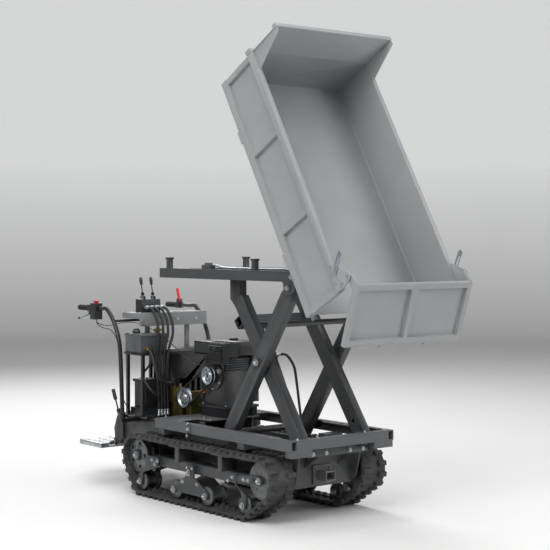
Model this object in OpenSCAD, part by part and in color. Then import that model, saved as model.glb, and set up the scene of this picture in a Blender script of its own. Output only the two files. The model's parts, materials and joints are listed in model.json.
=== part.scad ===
// Tracked power carrier: a rubber-tracked garden dumper with a scissor lift and a tipping tub.
// Millimetres. +X is forward, +Y is the machine's left, +Z is up. The lugs stand on Z = 0.
// It is drawn raised and tipped, as the photograph shows it.

/* [Deck] */
// Length of the deck frame
deck_l = 1340; // [1280:5:1400]
// Width over the deck's side channels
deck_w = 780; // [760:2:800]
// Height of the deck's top above the ground
deck_top = 500; // [490:1:520]
// Height of the side channels
rail_h = 60; // [56:1:66]

/* [Tracks] */
// Distance between the two track centres
gauge = 700; // [690:2:720]
// Width of each rubber track
track_w = 180; // [170:2:190]
// Pitch of the track's links
link_pitch = 60; // [56:1:62]
// Height of the ground lugs
lug_h = 18; // [12:1:20]
// Distance from sprocket axle to idler axle
wheel_base = 1264; // [1200:4:1300]
// Height of sprocket and idler axles
axle_z = 250; // [244:1:256]

/* [Scissor lift] */
// Pin to pin length of the outer arms
arm_l = 1050; // [1030:5:1070]
// Angle of the arms above level in the raised position
lift_angle = 56.5; // [54:0.5:58]
// Height of the arm's tube
arm_h = 94; // [84:1:98]
// Thickness of the arm's tube
arm_t = 50; // [44:1:52]
// Diameter of the arms' main pins
pin_d = 30; // [26:1:34]

/* [Platform] */
// Length of the platform's side channels
beam_l = 1360; // [1340:5:1380]
// Height of the platform's side channels
beam_h = 60; // [58:1:64]
// Radius of the tub's hinge pin
hinge_r = 14; // [12:0.5:16]

/* [Tub] */
// Length of the tub's floor
tub_l = 1520; // [1480:5:1560]
// Width over the tub's side walls
tub_w = 900; // [860:5:920]
// Height of the side walls
wall_h = 284; // [260:2:320]
// Height of the headboard above the side walls
board_h = 240; // [200:5:280]
// Thickness of the folded sheet
sheet = 4; // [3:0.5:6]
// Angle to which the tub is tipped here
tip_angle = 60; // [55:1:60]
// Angle by which the gate has swung from closed
gate_angle = 43; // [30:1:60]

/* [Engine] */
// Width of the engine block along the machine
engine_l = 290; // [270:2:296]
// Height of the engine block above its mount
engine_h = 300; // [280:2:306]
// Diameter of the engine's belt pulley
pulley_d = 110; // [90:2:120]

/* [Handles] */
// Distance between the two handlebar grips
handle_w = 720; // [700:5:740]
// Diameter of the handlebar tube
bar_d = 28; // [25:1:32]
// Height of the grips above the ground
grip_z = 1160; // [1140:5:1180]
// Length of each rubber grip
grip_l = 120; // [110:2:130]

/* [Hidden] */
$fn = 48;

run = 0.08;      // radial running clearance of pins in their bores
rail_t = 40;     // depth of the side channels
skin = 6;        // wall of the channels
pivot = [-100, 470];                 // fixed lower pin of the inner arms, X and Z
foot = [pivot.x - arm_l * cos(lift_angle), pivot.y];
lift_down = 32.5;                    // how far the arms turn down from the drawn height
foot_low = pivot.x - arm_l * cos(lift_angle - lift_down) - 25;  // clear of the lowered cross tube
head = [pivot.x, pivot.y + arm_l * sin(lift_angle)];
knee = [foot.x + 30, head.y - 84];   // where the inner arm turns upright
slide = [foot.x, head.y + 68];       // roller of the inner arm in the platform's channel
mid = [(pivot.x + foot.x) / 2, (pivot.y + head.y) / 2];
beam_z = head.y + 34;                // underside of the platform's channels
hinge = [-50, beam_z + beam_h / 2];
floor_z = hinge.y + 98;              // underside of the tub when it lies flat
outer_y = 270;                       // inner face of the outer arms
inner_y = 212;                       // inner face of the inner arms
lift_foot = [-320, 380];
lift_eye = [foot.x - 35, head.y - 250];
lift_y = -45;
tip_foot = [-170, hinge.y - 170];
tip_eye = [hinge.x - 220, hinge.y + 50];
tub_front = 260;
tub_back = tub_front - tub_l;
side_y = tub_w / 2;
wall_top = floor_z + 50 + wall_h;
board_top = wall_top + board_h;
gate_pin = [tub_front - 40, wall_top + 72];
sprocket_x = -deck_l - 170;
idler_x = sprocket_x + wheel_base;
tooth_count = 12;
pitch_r = tooth_count * link_pitch / (2 * PI);
belt_in = 6;     // belt below the pitch line
belt_out = 8;    // belt above the pitch line
roller_r = 58;
roller_z = lug_h + belt_out + belt_in + roller_r;
roller_xs = [sprocket_x + 50, sprocket_x + 425, sprocket_x + 746, idler_x - 151];
track_y = gauge / 2;
half_w = track_w / 2;
crank = [-1180, 760];
engine_x0 = crank.x - engine_l / 2;
engine_z0 = 640;
step_back = -2345;
step_pin = [-2020, 258];
plate_z = 460;   // top of the rear body
grip_back = -2290;
// the origin stands midway between the foot step's back edge and the gate's far corner
gate_top = turned(74, -26, -gate_angle) + gate_pin - hinge;
front_reach = hinge.x + turned(gate_top.x, gate_top.y, tip_angle).x;
ox = -(step_back + front_reach) / 2;

function turned(x, z, a) = [x * cos(a) + z * sin(a), -x * sin(a) + z * cos(a)];
function sum(v, n) = n < 0 ? 0 : v[n] + sum(v, n - 1);

// basic shapes, given by their limits along the axes
module bx(x0, x1, y0, y1, z0, z1) translate([x0, y0, z0]) cube([x1 - x0, y1 - y0, z1 - z0]);
module cy(p, y0, y1, r) translate([p.x, y0, p.y]) rotate([-90, 0, 0]) cylinder(h = y1 - y0, r = r);
module cz(x, y, z0, z1, r) translate([x, y, z0]) cylinder(h = z1 - z0, r = r);
module cx(x0, x1, y, z, r) translate([x0, y, z]) rotate([0, 90, 0]) cylinder(h = x1 - x0, r = r);
module side_plate(pts, y0, y1)
    translate([0, y1, 0]) rotate([90, 0, 0]) linear_extrude(y1 - y0) polygon(pts);
module both() { children(); mirror([0, 1, 0]) children(); }
// a straight beam in the XZ plane from p to q, w high
module beam(p, q, w, y0, y1)
    translate([p.x, y0, p.y]) rotate([0, -atan2(q.y - p.y, q.x - p.x), 0])
        translate([0, 0, -w / 2]) cube([norm(q - p), y1 - y0, w]);
// a round rod in the XZ plane, from distance a to distance b along p to q
module rod(p, q, y, a, b, r)
    translate([p.x, y, p.y]) rotate([0, 90 - atan2(q.y - p.y, q.x - p.x), 0])
        translate([0, 0, a]) cylinder(h = b - a, r = r);
// a bent tube: straight cylinders with a ball at each corner
module pipe(pts, r) {
    for (i = [0 : len(pts) - 2]) {
        d = pts[i + 1] - pts[i];
        translate(pts[i]) rotate([0, acos(d.z / norm(d)), atan2(d.y, d.x)])
            cylinder(h = norm(d), r = r, $fn = 24);
        if (i > 0) translate(pts[i]) sphere(r * 1.06, $fn = 24);
    }
}
// a soft hose through hand-placed points, rounded between them
function curve(p, n) = [for (i = [0 : len(p) - 2]) for (k = [0 : n - 1])
    let (t = k / n, a = p[max(i - 1, 0)], b = p[i], c = p[i + 1], d = p[min(i + 2, len(p) - 1)])
    0.5 * (2 * b + (c - a) * t + (2 * a - 5 * b + 4 * c - d) * t * t
        + (3 * b - a - 3 * c + d) * t * t * t), p[len(p) - 1]];
module hose(p, r, n = 4, sides = 8) {
    c = curve(p, n);
    m = len(c);
    rings = [for (i = [0 : m - 1])
        let (t = c[min(i + 1, m - 1)] - c[max(i - 1, 0)], u = t / norm(t),
            s = abs(u.z) > 0.9 ? [1, 0, 0] : [0, 0, 1], v = cross(u, s) / norm(cross(u, s)),
            w = cross(u, v))
        [for (k = [0 : sides - 1]) c[i] + r * (v * cos(360 * k / sides) + w * sin(360 * k / sides))]];
    pts = [for (q = rings) for (e = q) e];
    polyhedron(pts, concat(
        [[for (k = [0 : sides - 1]) k]],
        [for (i = [0 : m - 2]) for (k = [0 : sides - 1])
            each [[i * sides + k, (i + 1) * sides + k, i * sides + (k + 1) % sides],
            [i * sides + (k + 1) % sides, (i + 1) * sides + k, (i + 1) * sides + (k + 1) % sides]]],
        [[for (k = [sides - 1 : -1 : 0]) (m - 1) * sides + k]]), convexity = 6);
}

// rubber track: path round rear roller, front roller, idler and sprocket
ring = [[roller_xs[0], roller_z, roller_r + belt_in], [roller_xs[3], roller_z, roller_r + belt_in],
    [idler_x, axle_z, pitch_r], [sprocket_x, axle_z, pitch_r]];
function leave(i) = let (p = ring[i % 4], q = ring[(i + 1) % 4], d = [q.x - p.x, q.y - p.y],
    l = norm(d), u = d / l, c = (p.z - q.z) / l, n = u * c + [u.y, -u.x] * sqrt(1 - c * c))
    atan2(n.y, n.x);
function sweep_deg(i) = (leave(i) - leave(i + 3) + 720) % 360;
function span(i) = let (p = ring[i % 4], q = ring[(i + 1) % 4])
    sqrt(pow(q.x - p.x, 2) + pow(q.y - p.y, 2) - pow(p.z - q.z, 2));
legs = [for (i = [0 : 3]) each [ring[i].z * sweep_deg(i) * PI / 180, span(i)]];
marks = [for (i = [0 : 8]) sum(legs, i - 1)];
loop_l = marks[8];
links = round(loop_l / link_pitch);
pitch = loop_l / links;
function along(s, o) = let (t = (s + 4 * loop_l) % loop_l,
    k = max([for (i = [0 : 3]) t >= marks[2 * i] ? i : 0]), p = ring[k],
    in_arc = t < marks[2 * k + 1], a = in_arc ? leave(k + 3) + (t - marks[2 * k]) / p.z * 180 / PI
        : leave(k), f = in_arc ? 0 : t - marks[2 * k + 1])
    [p.x, p.y] + (p.z + o) * [cos(a), sin(a)] + f * [-sin(a), cos(a)];
// closed outline with a block on every link: base level o, block height h, half widths a and b
function toothed(o, h, a, b, shift) = [for (k = [0 : links - 1]) let (s = (k + shift) * pitch)
    each [along(s - b, o), along(s - a, o + h), along(s + a, o + h), along(s + b, o),
        along(s + pitch / 2, o)]];
function plain(o) = [for (k = [0 : 3 * links - 1]) along(k * pitch / 3, o)];
module strip(outer, inner, y0, y1)
    translate([0, y1, 0]) rotate([90, 0, 0]) linear_extrude(y1 - y0)
        difference() { polygon(outer); polygon(inner); }
module belt(y) translate([0, y, 0]) {
    strip(toothed(belt_out, lug_h, 11, 16, 0), plain(-belt_in), -half_w, -34);
    strip(toothed(belt_out, lug_h, 11, 16, 0.5), plain(-belt_in), 34, half_w);
    strip(plain(belt_out), toothed(-belt_in, -18, 8, 11, 0.5), -34, -18);
    // groove in which the sprocket's teeth run
    strip(plain(belt_out), plain(-belt_in + 8), -18, 18);
    strip(plain(belt_out), toothed(-belt_in, -18, 8, 11, 0.5), 18, 34);
}
module sprocket(y) {
    k0 = round((marks[6] + marks[7]) / 2 / pitch);
    a0 = leave(2) + (k0 * pitch - marks[6]) / pitch_r * 180 / PI;
    r0 = pitch_r - belt_in - 0.8;
    difference() {
        union() {
            translate([sprocket_x, y + 9, axle_z]) rotate([90, 0, 0]) linear_extrude(18)
                polygon([for (k = [0 : tooth_count - 1]) let (a = a0 + k * 360 / tooth_count)
                    each [r0 * [cos(a - 11), sin(a - 11)], r0 * [cos(a - 4.6), sin(a - 4.6)],
                        (r0 + 7) * [cos(a - 2.6), sin(a - 2.6)], (r0 + 7) * [cos(a + 2.6), sin(a + 2.6)],
                        r0 * [cos(a + 4.6), sin(a + 4.6)], r0 * [cos(a + 11), sin(a + 11)]]]);
            for (s = [-1, 1]) translate([0, y + s * 47, 0]) cy([sprocket_x, axle_z], -9, 9, r0);
            cy([sprocket_x, axle_z], y - 56, y + 56, 52);
        }
        cy([sprocket_x, axle_z], y - 60, y + 60, 20 + run);
        for (k = [0 : 4]) translate([sprocket_x, 0, axle_z]) rotate([0, 72 * k, 0])
            cy([76, 0], y - 60, y + 60, 13);
    }
}
module wheel(x, z, y, r, hub, bore) difference() {
    union() {
        for (s = [-1, 1]) translate([0, y + s * 47, 0]) cy([x, z], -11, 11, r);
        cy([x, z], y - 58, y + 58, hub);
    }
    cy([x, z], y - 60, y + 60, bore + run);
}
module idler(y) wheel(idler_x, axle_z, y, pitch_r - belt_in - 0.8, 62, 15);
module roller(n, y) wheel(roller_xs[n], roller_z, y, roller_r - 1, 36, 10);
module track_frame(y, s) {
    // longitudinal beam with its end caps
    bx(-1372, idler_x - 140, y - 30, y + 30, 200, 262);
    // ties into the tray and the outriggers' stubs
    for (x = [-1180, -470]) bx(x - 30, x + 30, min(y, s * 238), max(y, s * 238), 204, 254);
    // slide shoes under the top run
    for (x = [-1080, -640]) {
        bx(x - 90, x + 90, y + 42, y + 56, axle_z + pitch_r - belt_in - 15, axle_z + pitch_r - belt_in - 1);
        bx(x - 90, x + 90, y - 56, y - 42, axle_z + pitch_r - belt_in - 15, axle_z + pitch_r - belt_in - 1);
        bx(x - 20, x + 20, y - 56, y + 56, 255, axle_z + pitch_r - belt_in - 32);
        for (e = [-1, 1]) bx(x - 20, x + 20, y + e * 49 - 7, y + e * 49 + 7, 255,
            axle_z + pitch_r - belt_in - 8);
    }
    for (e = [-1, 1]) {
        // cheeks that carry the end rollers
        for (n = [0, 3]) let (x = roller_xs[n], d = n == 0 ? 1 : -1) side_plate([[x - 20, roller_z - 14],
            [x - 8, roller_z - 22], [x + 8, roller_z - 22], [x + 20, roller_z - 14],
            [x + 26, 150], [x + d * 130 + 60, 200], [x + d * 130 + 60, 262], [x + d * 130 - 60, 262],
            [x + d * 70 - d * 30, 180], [x - 20, 150]], y + e * 64 - 4, y + e * 64 + 4);
        // rocker plates of the two middle rollers
        side_plate([[roller_xs[1] - 22, roller_z - 8], [roller_xs[1], roller_z - 22],
            [roller_xs[1] + 30, roller_z - 10], [roller_xs[2] - 30, roller_z - 10],
            [roller_xs[2], roller_z - 22], [roller_xs[2] + 22, roller_z - 8],
            [roller_xs[2] + 16, roller_z + 22], [-890, 190], [-960, 190],
            [roller_xs[1] - 16, roller_z + 22]], y + e * 64 - 4, y + e * 64 + 4);
        side_plate([[-965, 176], [-885, 176], [-885, 262], [-965, 262]], y + e * 66 - 6, y + e * 66 + 6);
        // idler fork with the tension bolt
        side_plate([[idler_x - 190, 222], [idler_x - 20, 222], [idler_x + 24, 236],
            [idler_x + 24, 264], [idler_x - 20, 278], [idler_x - 190, 262]],
            y + e * 64 - 4, y + e * 64 + 4);
    }
    for (x = [-1310, -460, idler_x - 165]) bx(x - 22, x + 22, y - 64, y + 64, 222, 258);
    bx(-925 - 35, -925 + 35, y - 64, y + 64, 205, 256);
    // axles with their bolt heads
    for (n = [0 : 3]) {
        cy([roller_xs[n], roller_z], y - 70, y + 70, 10);
        for (e = [-1, 1]) translate([0, y + e * 72, 0]) cy([roller_xs[n], roller_z], -4, 4, 17);
    }
    cy([idler_x, axle_z], y - 70, y + 70, 15);
    for (e = [-1, 1]) translate([0, y + e * 73, 0]) {
        cy([idler_x, axle_z], -5, 5, 21);
        cy([-925, 212], -6, 6, 20);
        cy([idler_x - 60, 250], -7, 7, 11);
    }
    // final drive and its output shaft
    cy([sprocket_x, axle_z], min(s * 238, y - s * 60), max(s * 238, y - s * 60), 62);
    cy([sprocket_x, axle_z], min(s * 238, y + s * 70), max(s * 238, y + s * 70), 20);
    cy([sprocket_x, axle_z], y + (s > 0 ? 58 : -72), y + (s > 0 ? 72 : -58), 34);
}

// deck and chassis
module channel(x0, x1, y0, y1, z0, z1) difference() {
    bx(x0, x1, y0, y1, z0, z1);
    bx(x0 - 1, x1 + 1, y0 - 1, y1 - skin, z0 + skin, z1 - skin);
}
module deck_frame() color("#4c4c4e") {
    z0 = deck_top - rail_h;
    both() {
        channel(-deck_l, 0, deck_w / 2 - rail_t, deck_w / 2, z0, deck_top);
        // outriggers over the tracks
        for (x = [-deck_l + 60, -470, -30])
            bx(x - 30, x + 30, 238.3, deck_w / 2 - 6, z0 - 38, z0);
        // stake pocket clamp with its J bolt
        difference() {
            bx(-1010, -950, deck_w / 2, deck_w / 2 + 6, z0 + 6, deck_top - 6);
            bx(-990, -972, deck_w / 2 - 1, deck_w / 2 + 7, z0, deck_top - 12);
        }
        cz(-981, deck_w / 2 + 8, z0 - 20, deck_top - 8, 6);
        cy([-962, z0 + 30], deck_w / 2, deck_w / 2 + 14, 8);
    }
    bx(-44, 0, -deck_w / 2 + rail_t - 1, deck_w / 2 - rail_t + 1, z0, deck_top);
    bx(-deck_l, -deck_l + 40, -deck_w / 2 + rail_t - 1, deck_w / 2 - rail_t + 1, z0, deck_top);
    // slotted strip on top of the near side channel
    both() difference() {
        bx(-560, -170, deck_w / 2 - 70, deck_w / 2 - rail_t + 2, deck_top - 8, deck_top - 2);
        for (i = [0 : 5]) bx(-540 + i * 62, -502 + i * 62, deck_w / 2 - 60, deck_w / 2 - 48,
            deck_top - 10, deck_top);
    }
    // brackets of the inner arms' lower pins
    both() {
        side_plate([[-40, 424.3], [-40, 498], [-86, 498], [-130, 486], [-136, 440], [-120, 424.3]],
            inner_y - 12, inner_y - 2);
        cy(pivot, inner_y - 18, inner_y + arm_t + 1, pin_d / 2);
        cy(pivot, inner_y - 24, inner_y - 12, pin_d / 2 + 9);
    }
}
module deck_floor() color("#454547") {
    bx(-deck_l + 40, -1135, -deck_w / 2 + rail_t, deck_w / 2 - rail_t, deck_top - 8, deck_top - 2);
    bx(-1140, -1030, -200, 200, deck_top - 6, deck_top - 2);
    // stiffeners of the engine's seat, down to the tray
    for (y = [-190, 182]) bx(-1290, foot_low, y, y + 8, 402, deck_top - 4);
    for (y = [-190, 182]) bx(-1290, -1036, y > 0 ? y : y - 38, y > 0 ? y + 46 : y + 8, 402, 408);
}
module chassis_tray() color("#3b3b3d") {
    both() {
        side_plate([[-1960, 290], [-1600, 186], [-200, 186], [-150, 230], [-110, 404], [-110, 424],
            [-170, 424], [-250, 402], [-1300, 402], [-1345, 440], [-1960, 440]], 226, 238);
        // front gussets
        side_plate([[-196, 300], [-52, 396], [-52, 420], [-196, 420]], 120, 130);
    }
    difference() {
        bx(-1600, -196, -228, 228, 186, 194);
        for (x = [-1250, -900, -600]) cz(x, 0, 180, 200, 45);
    }
    bx(-208, -196, -228, 228, 190, 400);
    bx(-60, -48, -228, 228, 386, 420);
    bx(-1608, -1596, -228, 228, 190, 402);
    cy([-122, 404], -124, 124, 13);
    // seat of the lift cylinder
    for (e = [-1, 1]) side_plate([[lift_foot.x - 70, 192], [lift_foot.x + 70, 192],
        [lift_foot.x + 26, lift_foot.y + 10], [lift_foot.x, lift_foot.y + 26],
        [lift_foot.x - 26, lift_foot.y + 10]], lift_y + e * 32 - 5, lift_y + e * 32 + 5);
    cy(lift_foot, lift_y - 42, lift_y + 42, 14);
    for (e = [-1, 1]) cy(lift_foot, lift_y + e * 40 - 4, lift_y + e * 40 + 4, 21);
}
module tow_hitch() color("#4a4a4c") {
    difference() {
        union() {
            bx(-196, -186, -70, 70, 200, 312);
            bx(-188, -112, -38, 38, 224, 284);
        }
        bx(-172, -100, -30, 30, 234, 274);
        cz(-140, 0, 200, 300, 12);
    }
    for (e = [-1, 1]) translate([-187, e * 55, 292]) rotate([0, 90, 0]) cylinder(h = 8, r = 9, $fn = 6);
}

// rear body and controls
module rear_body() color("#2c2c2e") {
    difference() {
        union() {
            bx(-1960, -deck_l - 2, -225, 225, 430, plate_z);
            bx(-1840, -1610, -270, 270, plate_z - 6, plate_z + 20);
            // upright cabinet
            bx(-1800, -1630, -90, 250, plate_z, 900);
            bx(-1800, -1640, -270, -90, plate_z, 520);
            bx(-1830, -1620, -300, 265, 866, 884);
        }
        bx(-1790, -1640, -60, 240, plate_z + 20, 850);
        for (i = [0 : 5]) bx(-1700, -1620, -40 + i * 46, -14 + i * 46, 560, 700);
    }
    // bracket and pin of the gear lever
    bx(-1932, -1878, -288, -224, 446, plate_z);
    bx(-1932, -1878, -288, -280, 446, 500);
    cy([-1905, 486], -308, -280, 7);
    // shelf posts of the oil tank
    for (y = [-290, -110]) bx(-1826, -1806, y, y + 20, plate_z + 10, 870);
    for (y = [-290, -110]) bx(-1650, -1630, y, y + 20, plate_z + 10, 870);
}
module rear_cover() color("#1e1e20") {
    difference() {
        side_plate([[-1960.3, 462], [-1980, 462], [-2010, 446], [-2052, 352], [-2040, 290], [-1960.3, 270]],
            -240, 240);
        side_plate([[-1950, 452], [-1978, 452], [-2000, 438], [-2040, 350], [-2030, 300], [-1950, 280]],
            -232, 232);
    }
    bx(-1970, -1960.3, -240, 240, 300, 462);
}
module foot_step() color("#b9babb") difference() {
    union() {
        difference() {
            bx(step_back, -2070, -330, 330, 246, 252);
            for (i = [0 : 3]) for (k = [0 : 7]) cz(step_back + 50 + i * 62, -280 + k * 80, 240, 260, 15);
        }
        bx(step_back, step_back + 5, -330, 330, 220, 252);
        for (e = [-1, 1]) bx(step_back, -2070, e * 327 - 3, e * 327 + 3, 220, 252);
        bx(-2075, -2070, -330, 330, 220, 252);
        for (e = [-1, 1]) side_plate([[-2075, 220], [-2034, 238], [-2010, 238], [-2002, 248],
            [-2002, 268], [-2012, 276], [-2030, 276], [-2075, 252]], e * 262 - 5, e * 262 + 5);
    }
    cy(step_pin, -280, 280, 9 + run);
}
module handlebar() color("#262628") {
    w = handle_w / 2;
    both() {
        hose([[-1760, w, 446], [-1762, w, 500], [-1778, w, 800], [-1800, w, 960],
            [-1866, w, grip_z - 76], [-1950, w, grip_z], [-2020, w, grip_z],
            [grip_back + 4, w, grip_z]], bar_d / 2, 5, 12);
        bx(-1786, -1736, 238.3, w + 20, plate_z - 30, plate_z - 6);
        cz(-1761, w, plate_z - 4, plate_z + 34, bar_d / 2 + 5);
    }
    cy([-1868, grip_z - 76], -w, w, 9);
    // foot step hinge bar and its lugs
    cy(step_pin, -290, 290, 9);
    both() side_plate([[-1920, 300], [-2006, 242], [-2034, 242], [-2036, 272], [-2000, 330],
        [-1950, 400], [-1920, 400]], 241, 253);
    both() bx(-1950, -1920, 238.3, 243, 300, 400);
}
module grip(s) color("#19191a") difference() {
    cx(grip_back, grip_back + grip_l, s * handle_w / 2, grip_z, bar_d / 2 + 5);
    cx(grip_back + 4, grip_back + grip_l + 5, s * handle_w / 2, grip_z, bar_d / 2 + 0.1);
}
module console() color("#7b7e80") {
    difference() {
        bx(-1930, -1720, -250, 290, grip_z - 30, grip_z - 24);
        for (x = [-1870, -1800]) bx(x, x + 30, 60, 220, grip_z - 40, grip_z - 10);
    }
    bx(-1724, -1718, -250, 290, grip_z - 110, grip_z - 24);
    for (y = [-250, 284]) bx(-1930, -1720, y, y + 6, grip_z - 62, grip_z - 24);
    for (y = [-160, 160]) bx(-1800, -1780, y, y + 30, y < 0 ? 1004 : 900, grip_z - 28);
}
module control_valve() color("#3d3f41") {
    difference() {
        union() {
            bx(-1860, -1790, -190, -40, grip_z - 24, grip_z + 62);
            for (y = [-155, -75]) cz(-1825, y, grip_z + 60, grip_z + 84, 17);
        }
        for (y = [-155, -75]) bx(-1846, -1804, y - 4, y + 4, grip_z + 66, grip_z + 90);
    }
    for (y = [-155, -75]) cy([-1825, grip_z + 76], y - 15, y + 15, 5);
    for (i = [0 : 3]) cx(-1792, -1764, -172 + i * 38, grip_z + 12, 13);
    cx(-1880, -1858, -115, grip_z + 20, 12);
}
module valve_lever(y) color("#1d1d1e") {
    difference() {
        cy([-1825, grip_z + 76], y - 3.6, y + 3.6, 9);
        cy([-1825, grip_z + 76], y - 8, y + 8, 5 + run);
    }
    rod([-1825, grip_z + 76], [-1850, grip_z + 190], y, 8, 96, 3.6);
    rod([-1825, grip_z + 76], [-1850, grip_z + 190], y, 84, 128, 9);
    translate([-1825, y, grip_z + 76]) rotate([0, -12.37, 0]) translate([0, 0, 128]) sphere(9);
}
module clutch_lever() color("#8a8c8e") {
    p = [grip_back + 150, grip_z - 34];
    difference() {
        union() {
            cy(p, -handle_w / 2 - 5, -handle_w / 2 + 5, 10);
            side_plate([[p.x, p.y - 8], [p.x - 12, p.y - 16], [p.x - 120, p.y - 44],
                [p.x - 160, p.y - 44], [p.x - 160, p.y - 36], [p.x - 120, p.y - 34], [p.x - 6, p.y + 4]],
                -handle_w / 2 - 4, -handle_w / 2 + 4);
        }
        cy(p, -handle_w / 2 - 9, -handle_w / 2 + 9, 4 + run);
    }
}
module safety_lever() color("#c22a22") {
    p = [grip_back + 150, grip_z + 33];
    y = handle_w / 2;
    difference() {
        union() {
            cy(p, y - 7, y + 7, 11);
            side_plate([[p.x - 8, p.y], [p.x + 6, p.y + 6], [p.x - 20, p.y + 84], [p.x - 34, p.y + 84]],
                y - 7, y + 7);
        }
        cy(p, y - 9, y + 9, 4 + run);
    }
}
module switch_box() color("#303234") {
    x = grip_back + 150;
    // clamps with the lever pins, one under the right bar and one over the left
    difference() {
        union() {
            bx(x - 20, x + 22, -handle_w / 2 - 22, -handle_w / 2 + 22, grip_z - 22, grip_z + 22);
            for (e = [-1, 1]) bx(x - 11, x + 11, -handle_w / 2 + e * 12 - 5, -handle_w / 2 + e * 12 + 5,
                grip_z - 44, grip_z);
            bx(x + 30, x + 90, -handle_w / 2 - 30, -handle_w / 2 + 30, grip_z - 74, grip_z + 34);
            bx(x - 20, x + 22, handle_w / 2 - 20, handle_w / 2 + 20, grip_z - 20, grip_z + 20);
            for (e = [-1, 1]) bx(x - 11, x + 11, handle_w / 2 + e * 13 - 4, handle_w / 2 + e * 13 + 4,
                grip_z, grip_z + 44);
            cx(x + 20, x + 32, -handle_w / 2, grip_z, bar_d / 2 + 5);
        }
        for (s = [-1, 1]) cx(x - 60, x + 120, s * handle_w / 2, grip_z, bar_d / 2 + 0.1);
        cz(x + 60, -handle_w / 2, grip_z + 18, grip_z + 36, 11 + run);
    }
    cy([x, grip_z - 34], -handle_w / 2 - 17, -handle_w / 2 + 17, 4);
    cy([x, grip_z + 33], handle_w / 2 - 17, handle_w / 2 + 17, 4);
}
module stop_button() color("#d0281e") {
    x = grip_back + 210;
    cz(x, -handle_w / 2, grip_z + 24, grip_z + 42, 11);
    cz(x, -handle_w / 2, grip_z + 40, grip_z + 52, 19);
}
module gear_lever() color("#202022") {
    difference() {
        cy([-1905, 486], -304, -292, 15);
        cy([-1905, 486], -310, -280, 7 + run);
    }
    rod([-1905, 486], [-1960, 600], -298, 13, 84, 5);
    rod([-1905, 486], [-1960, 600], -298, 80, 150, 12);
}
module hydraulic_tank() color("#55575a") {
    difference() {
        union() {
            bx(-1822, -1640, -296, -90.3, 884, 1004);
            bx(-1828, -1634, -302, -90.3, 990, 998);
        }
        bx(-1814, -1648, -288, -98, 892, 996);
    }
    cz(-1760, -250, 1000, 1026, 24);
    cz(-1760, -250, 1024, 1034, 17);
    for (i = [0 : 2]) bx(-1824, -1822, -270 + i * 60, -250 + i * 60, 900, 970);
}
module brass_valves() color("#b08b3e") {
    // shut-off valve on the tank and the relief valve by the right handle
    cz(-1690, -130, 1004, 1044, 12);
    cz(-1690, -130, 1016, 1034, 19);
    cx(-1730, -1650, -130, 1026, 6);
    cx(-1860, -1822, -230, 940, 10);
    cx(-1890, -1854, -230, 940, 16);
    cz(-1876, -230, 938, 976, 7);
}
module battery_box() color("#29292b") {
    bx(-1780, -1652, -252, -112, 520, 690);
    bx(-1788, -1652, -262, -102, 690, 706);
    cz(-1748, -222, 704, 716, 9);
    cz(-1684, -222, 704, 716, 9);
    for (i = [0 : 3]) bx(-1783, -1780, -240 + i * 34, -226 + i * 34, 540, 676);
}
module hydraulic_pump() color("#6a6236") {
    cx(-1628, -1560, -40, 600, 42);
    bx(-1612, -1572, -88, 8, 552, 648);
    cx(-1562, -1470, -40, 600, 16);
    bx(-1600, -1560, -82, 2, plate_z, 560);
    for (y = [-66, -14]) cz(-1594, y, 646, 672, 10);
    // bearing block of the pump's pulley shaft, which turns with the far end
    bx(-1540, -1500, -72, -8, plate_z, 640);
    cy([-1440, 600], -110, 60, 12);
    bx(-1476, -1404, -62, 62, 566, 634);
    bx(-1470, -1410, -60, 60, plate_z, 570);
}

// engine
module engine_block() color("#2b2b2d") {
    x1 = engine_x0 + engine_l;
    // mount frame on the deck floor
    for (y = [-60, 150]) bx(engine_x0 + 27, x1 - 6, y, y + 40, deck_top - 2, 560);
    bx(engine_x0, x1, -70, 200, 556, 572);
    bx(engine_x0 + 12, x1 - 12, -46, 149.7, 570, engine_z0 + 150);
    cy(crank, -58, 149.7, 96);
    for (i = [0 : 5]) bx(engine_x0 + 20, x1 - 20, -40, 149.7, engine_z0 + 156 + i * 14,
        engine_z0 + 162 + i * 14);
    bx(engine_x0 + 50, x1 - 50, -36, 146, engine_z0 + 140, engine_z0 + 240);
    cy(crank, -108, -50, 15);
    // filler neck and drain plug
    cz(engine_x0 + 30, -50, 600, 640, 14);
}
module engine_shroud() color("#323336") {
    x1 = engine_x0 + engine_l;
    difference() {
        bx(engine_x0 + 8, x1 - 8, 150, 206, 590, engine_z0 + engine_h - 40);
        cy(crank, 160, 210, 78);
        bx(engine_x0 + 20, x1 - 20, 140, 194, 600, engine_z0 + engine_h - 60);
    }
    difference() {
        cy(crank, 196, 212, 84);
        for (k = [0 : 11]) translate([crank.x, 0, crank.y]) rotate([0, 30 * k, 0])
            bx(30, 70, 190, 220, -4, 4);
    }
    // fuel tank on top
    difference() {
        bx(engine_x0 + 10, x1 - 6, 20, 202, engine_z0 + 246, engine_z0 + engine_h + 34);
        bx(engine_x0 + 16, x1 - 12, 26, 196, engine_z0 + 252, engine_z0 + engine_h + 28);
    }
    cz(crank.x, 110, engine_z0 + engine_h + 30, engine_z0 + engine_h + 50, 26);
}
module muffler_guard() color("#3a3b3e") {
    x0 = engine_x0 - 2;
    difference() {
        bx(x0, x0 + 170, -96, 14, engine_z0 + 246, engine_z0 + engine_h + 34);
        bx(x0 + 6, x0 + 164, -90, 8, engine_z0 + 252, engine_z0 + engine_h + 28);
        for (i = [0 : 4]) bx(x0 + 14, x0 + 156, -100, -80, engine_z0 + 256 + i * 14,
            engine_z0 + 263 + i * 14);
    }
    bx(x0 + 50, x0 + 120, -50, 0, engine_z0 + 240, engine_z0 + 250);
}
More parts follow.
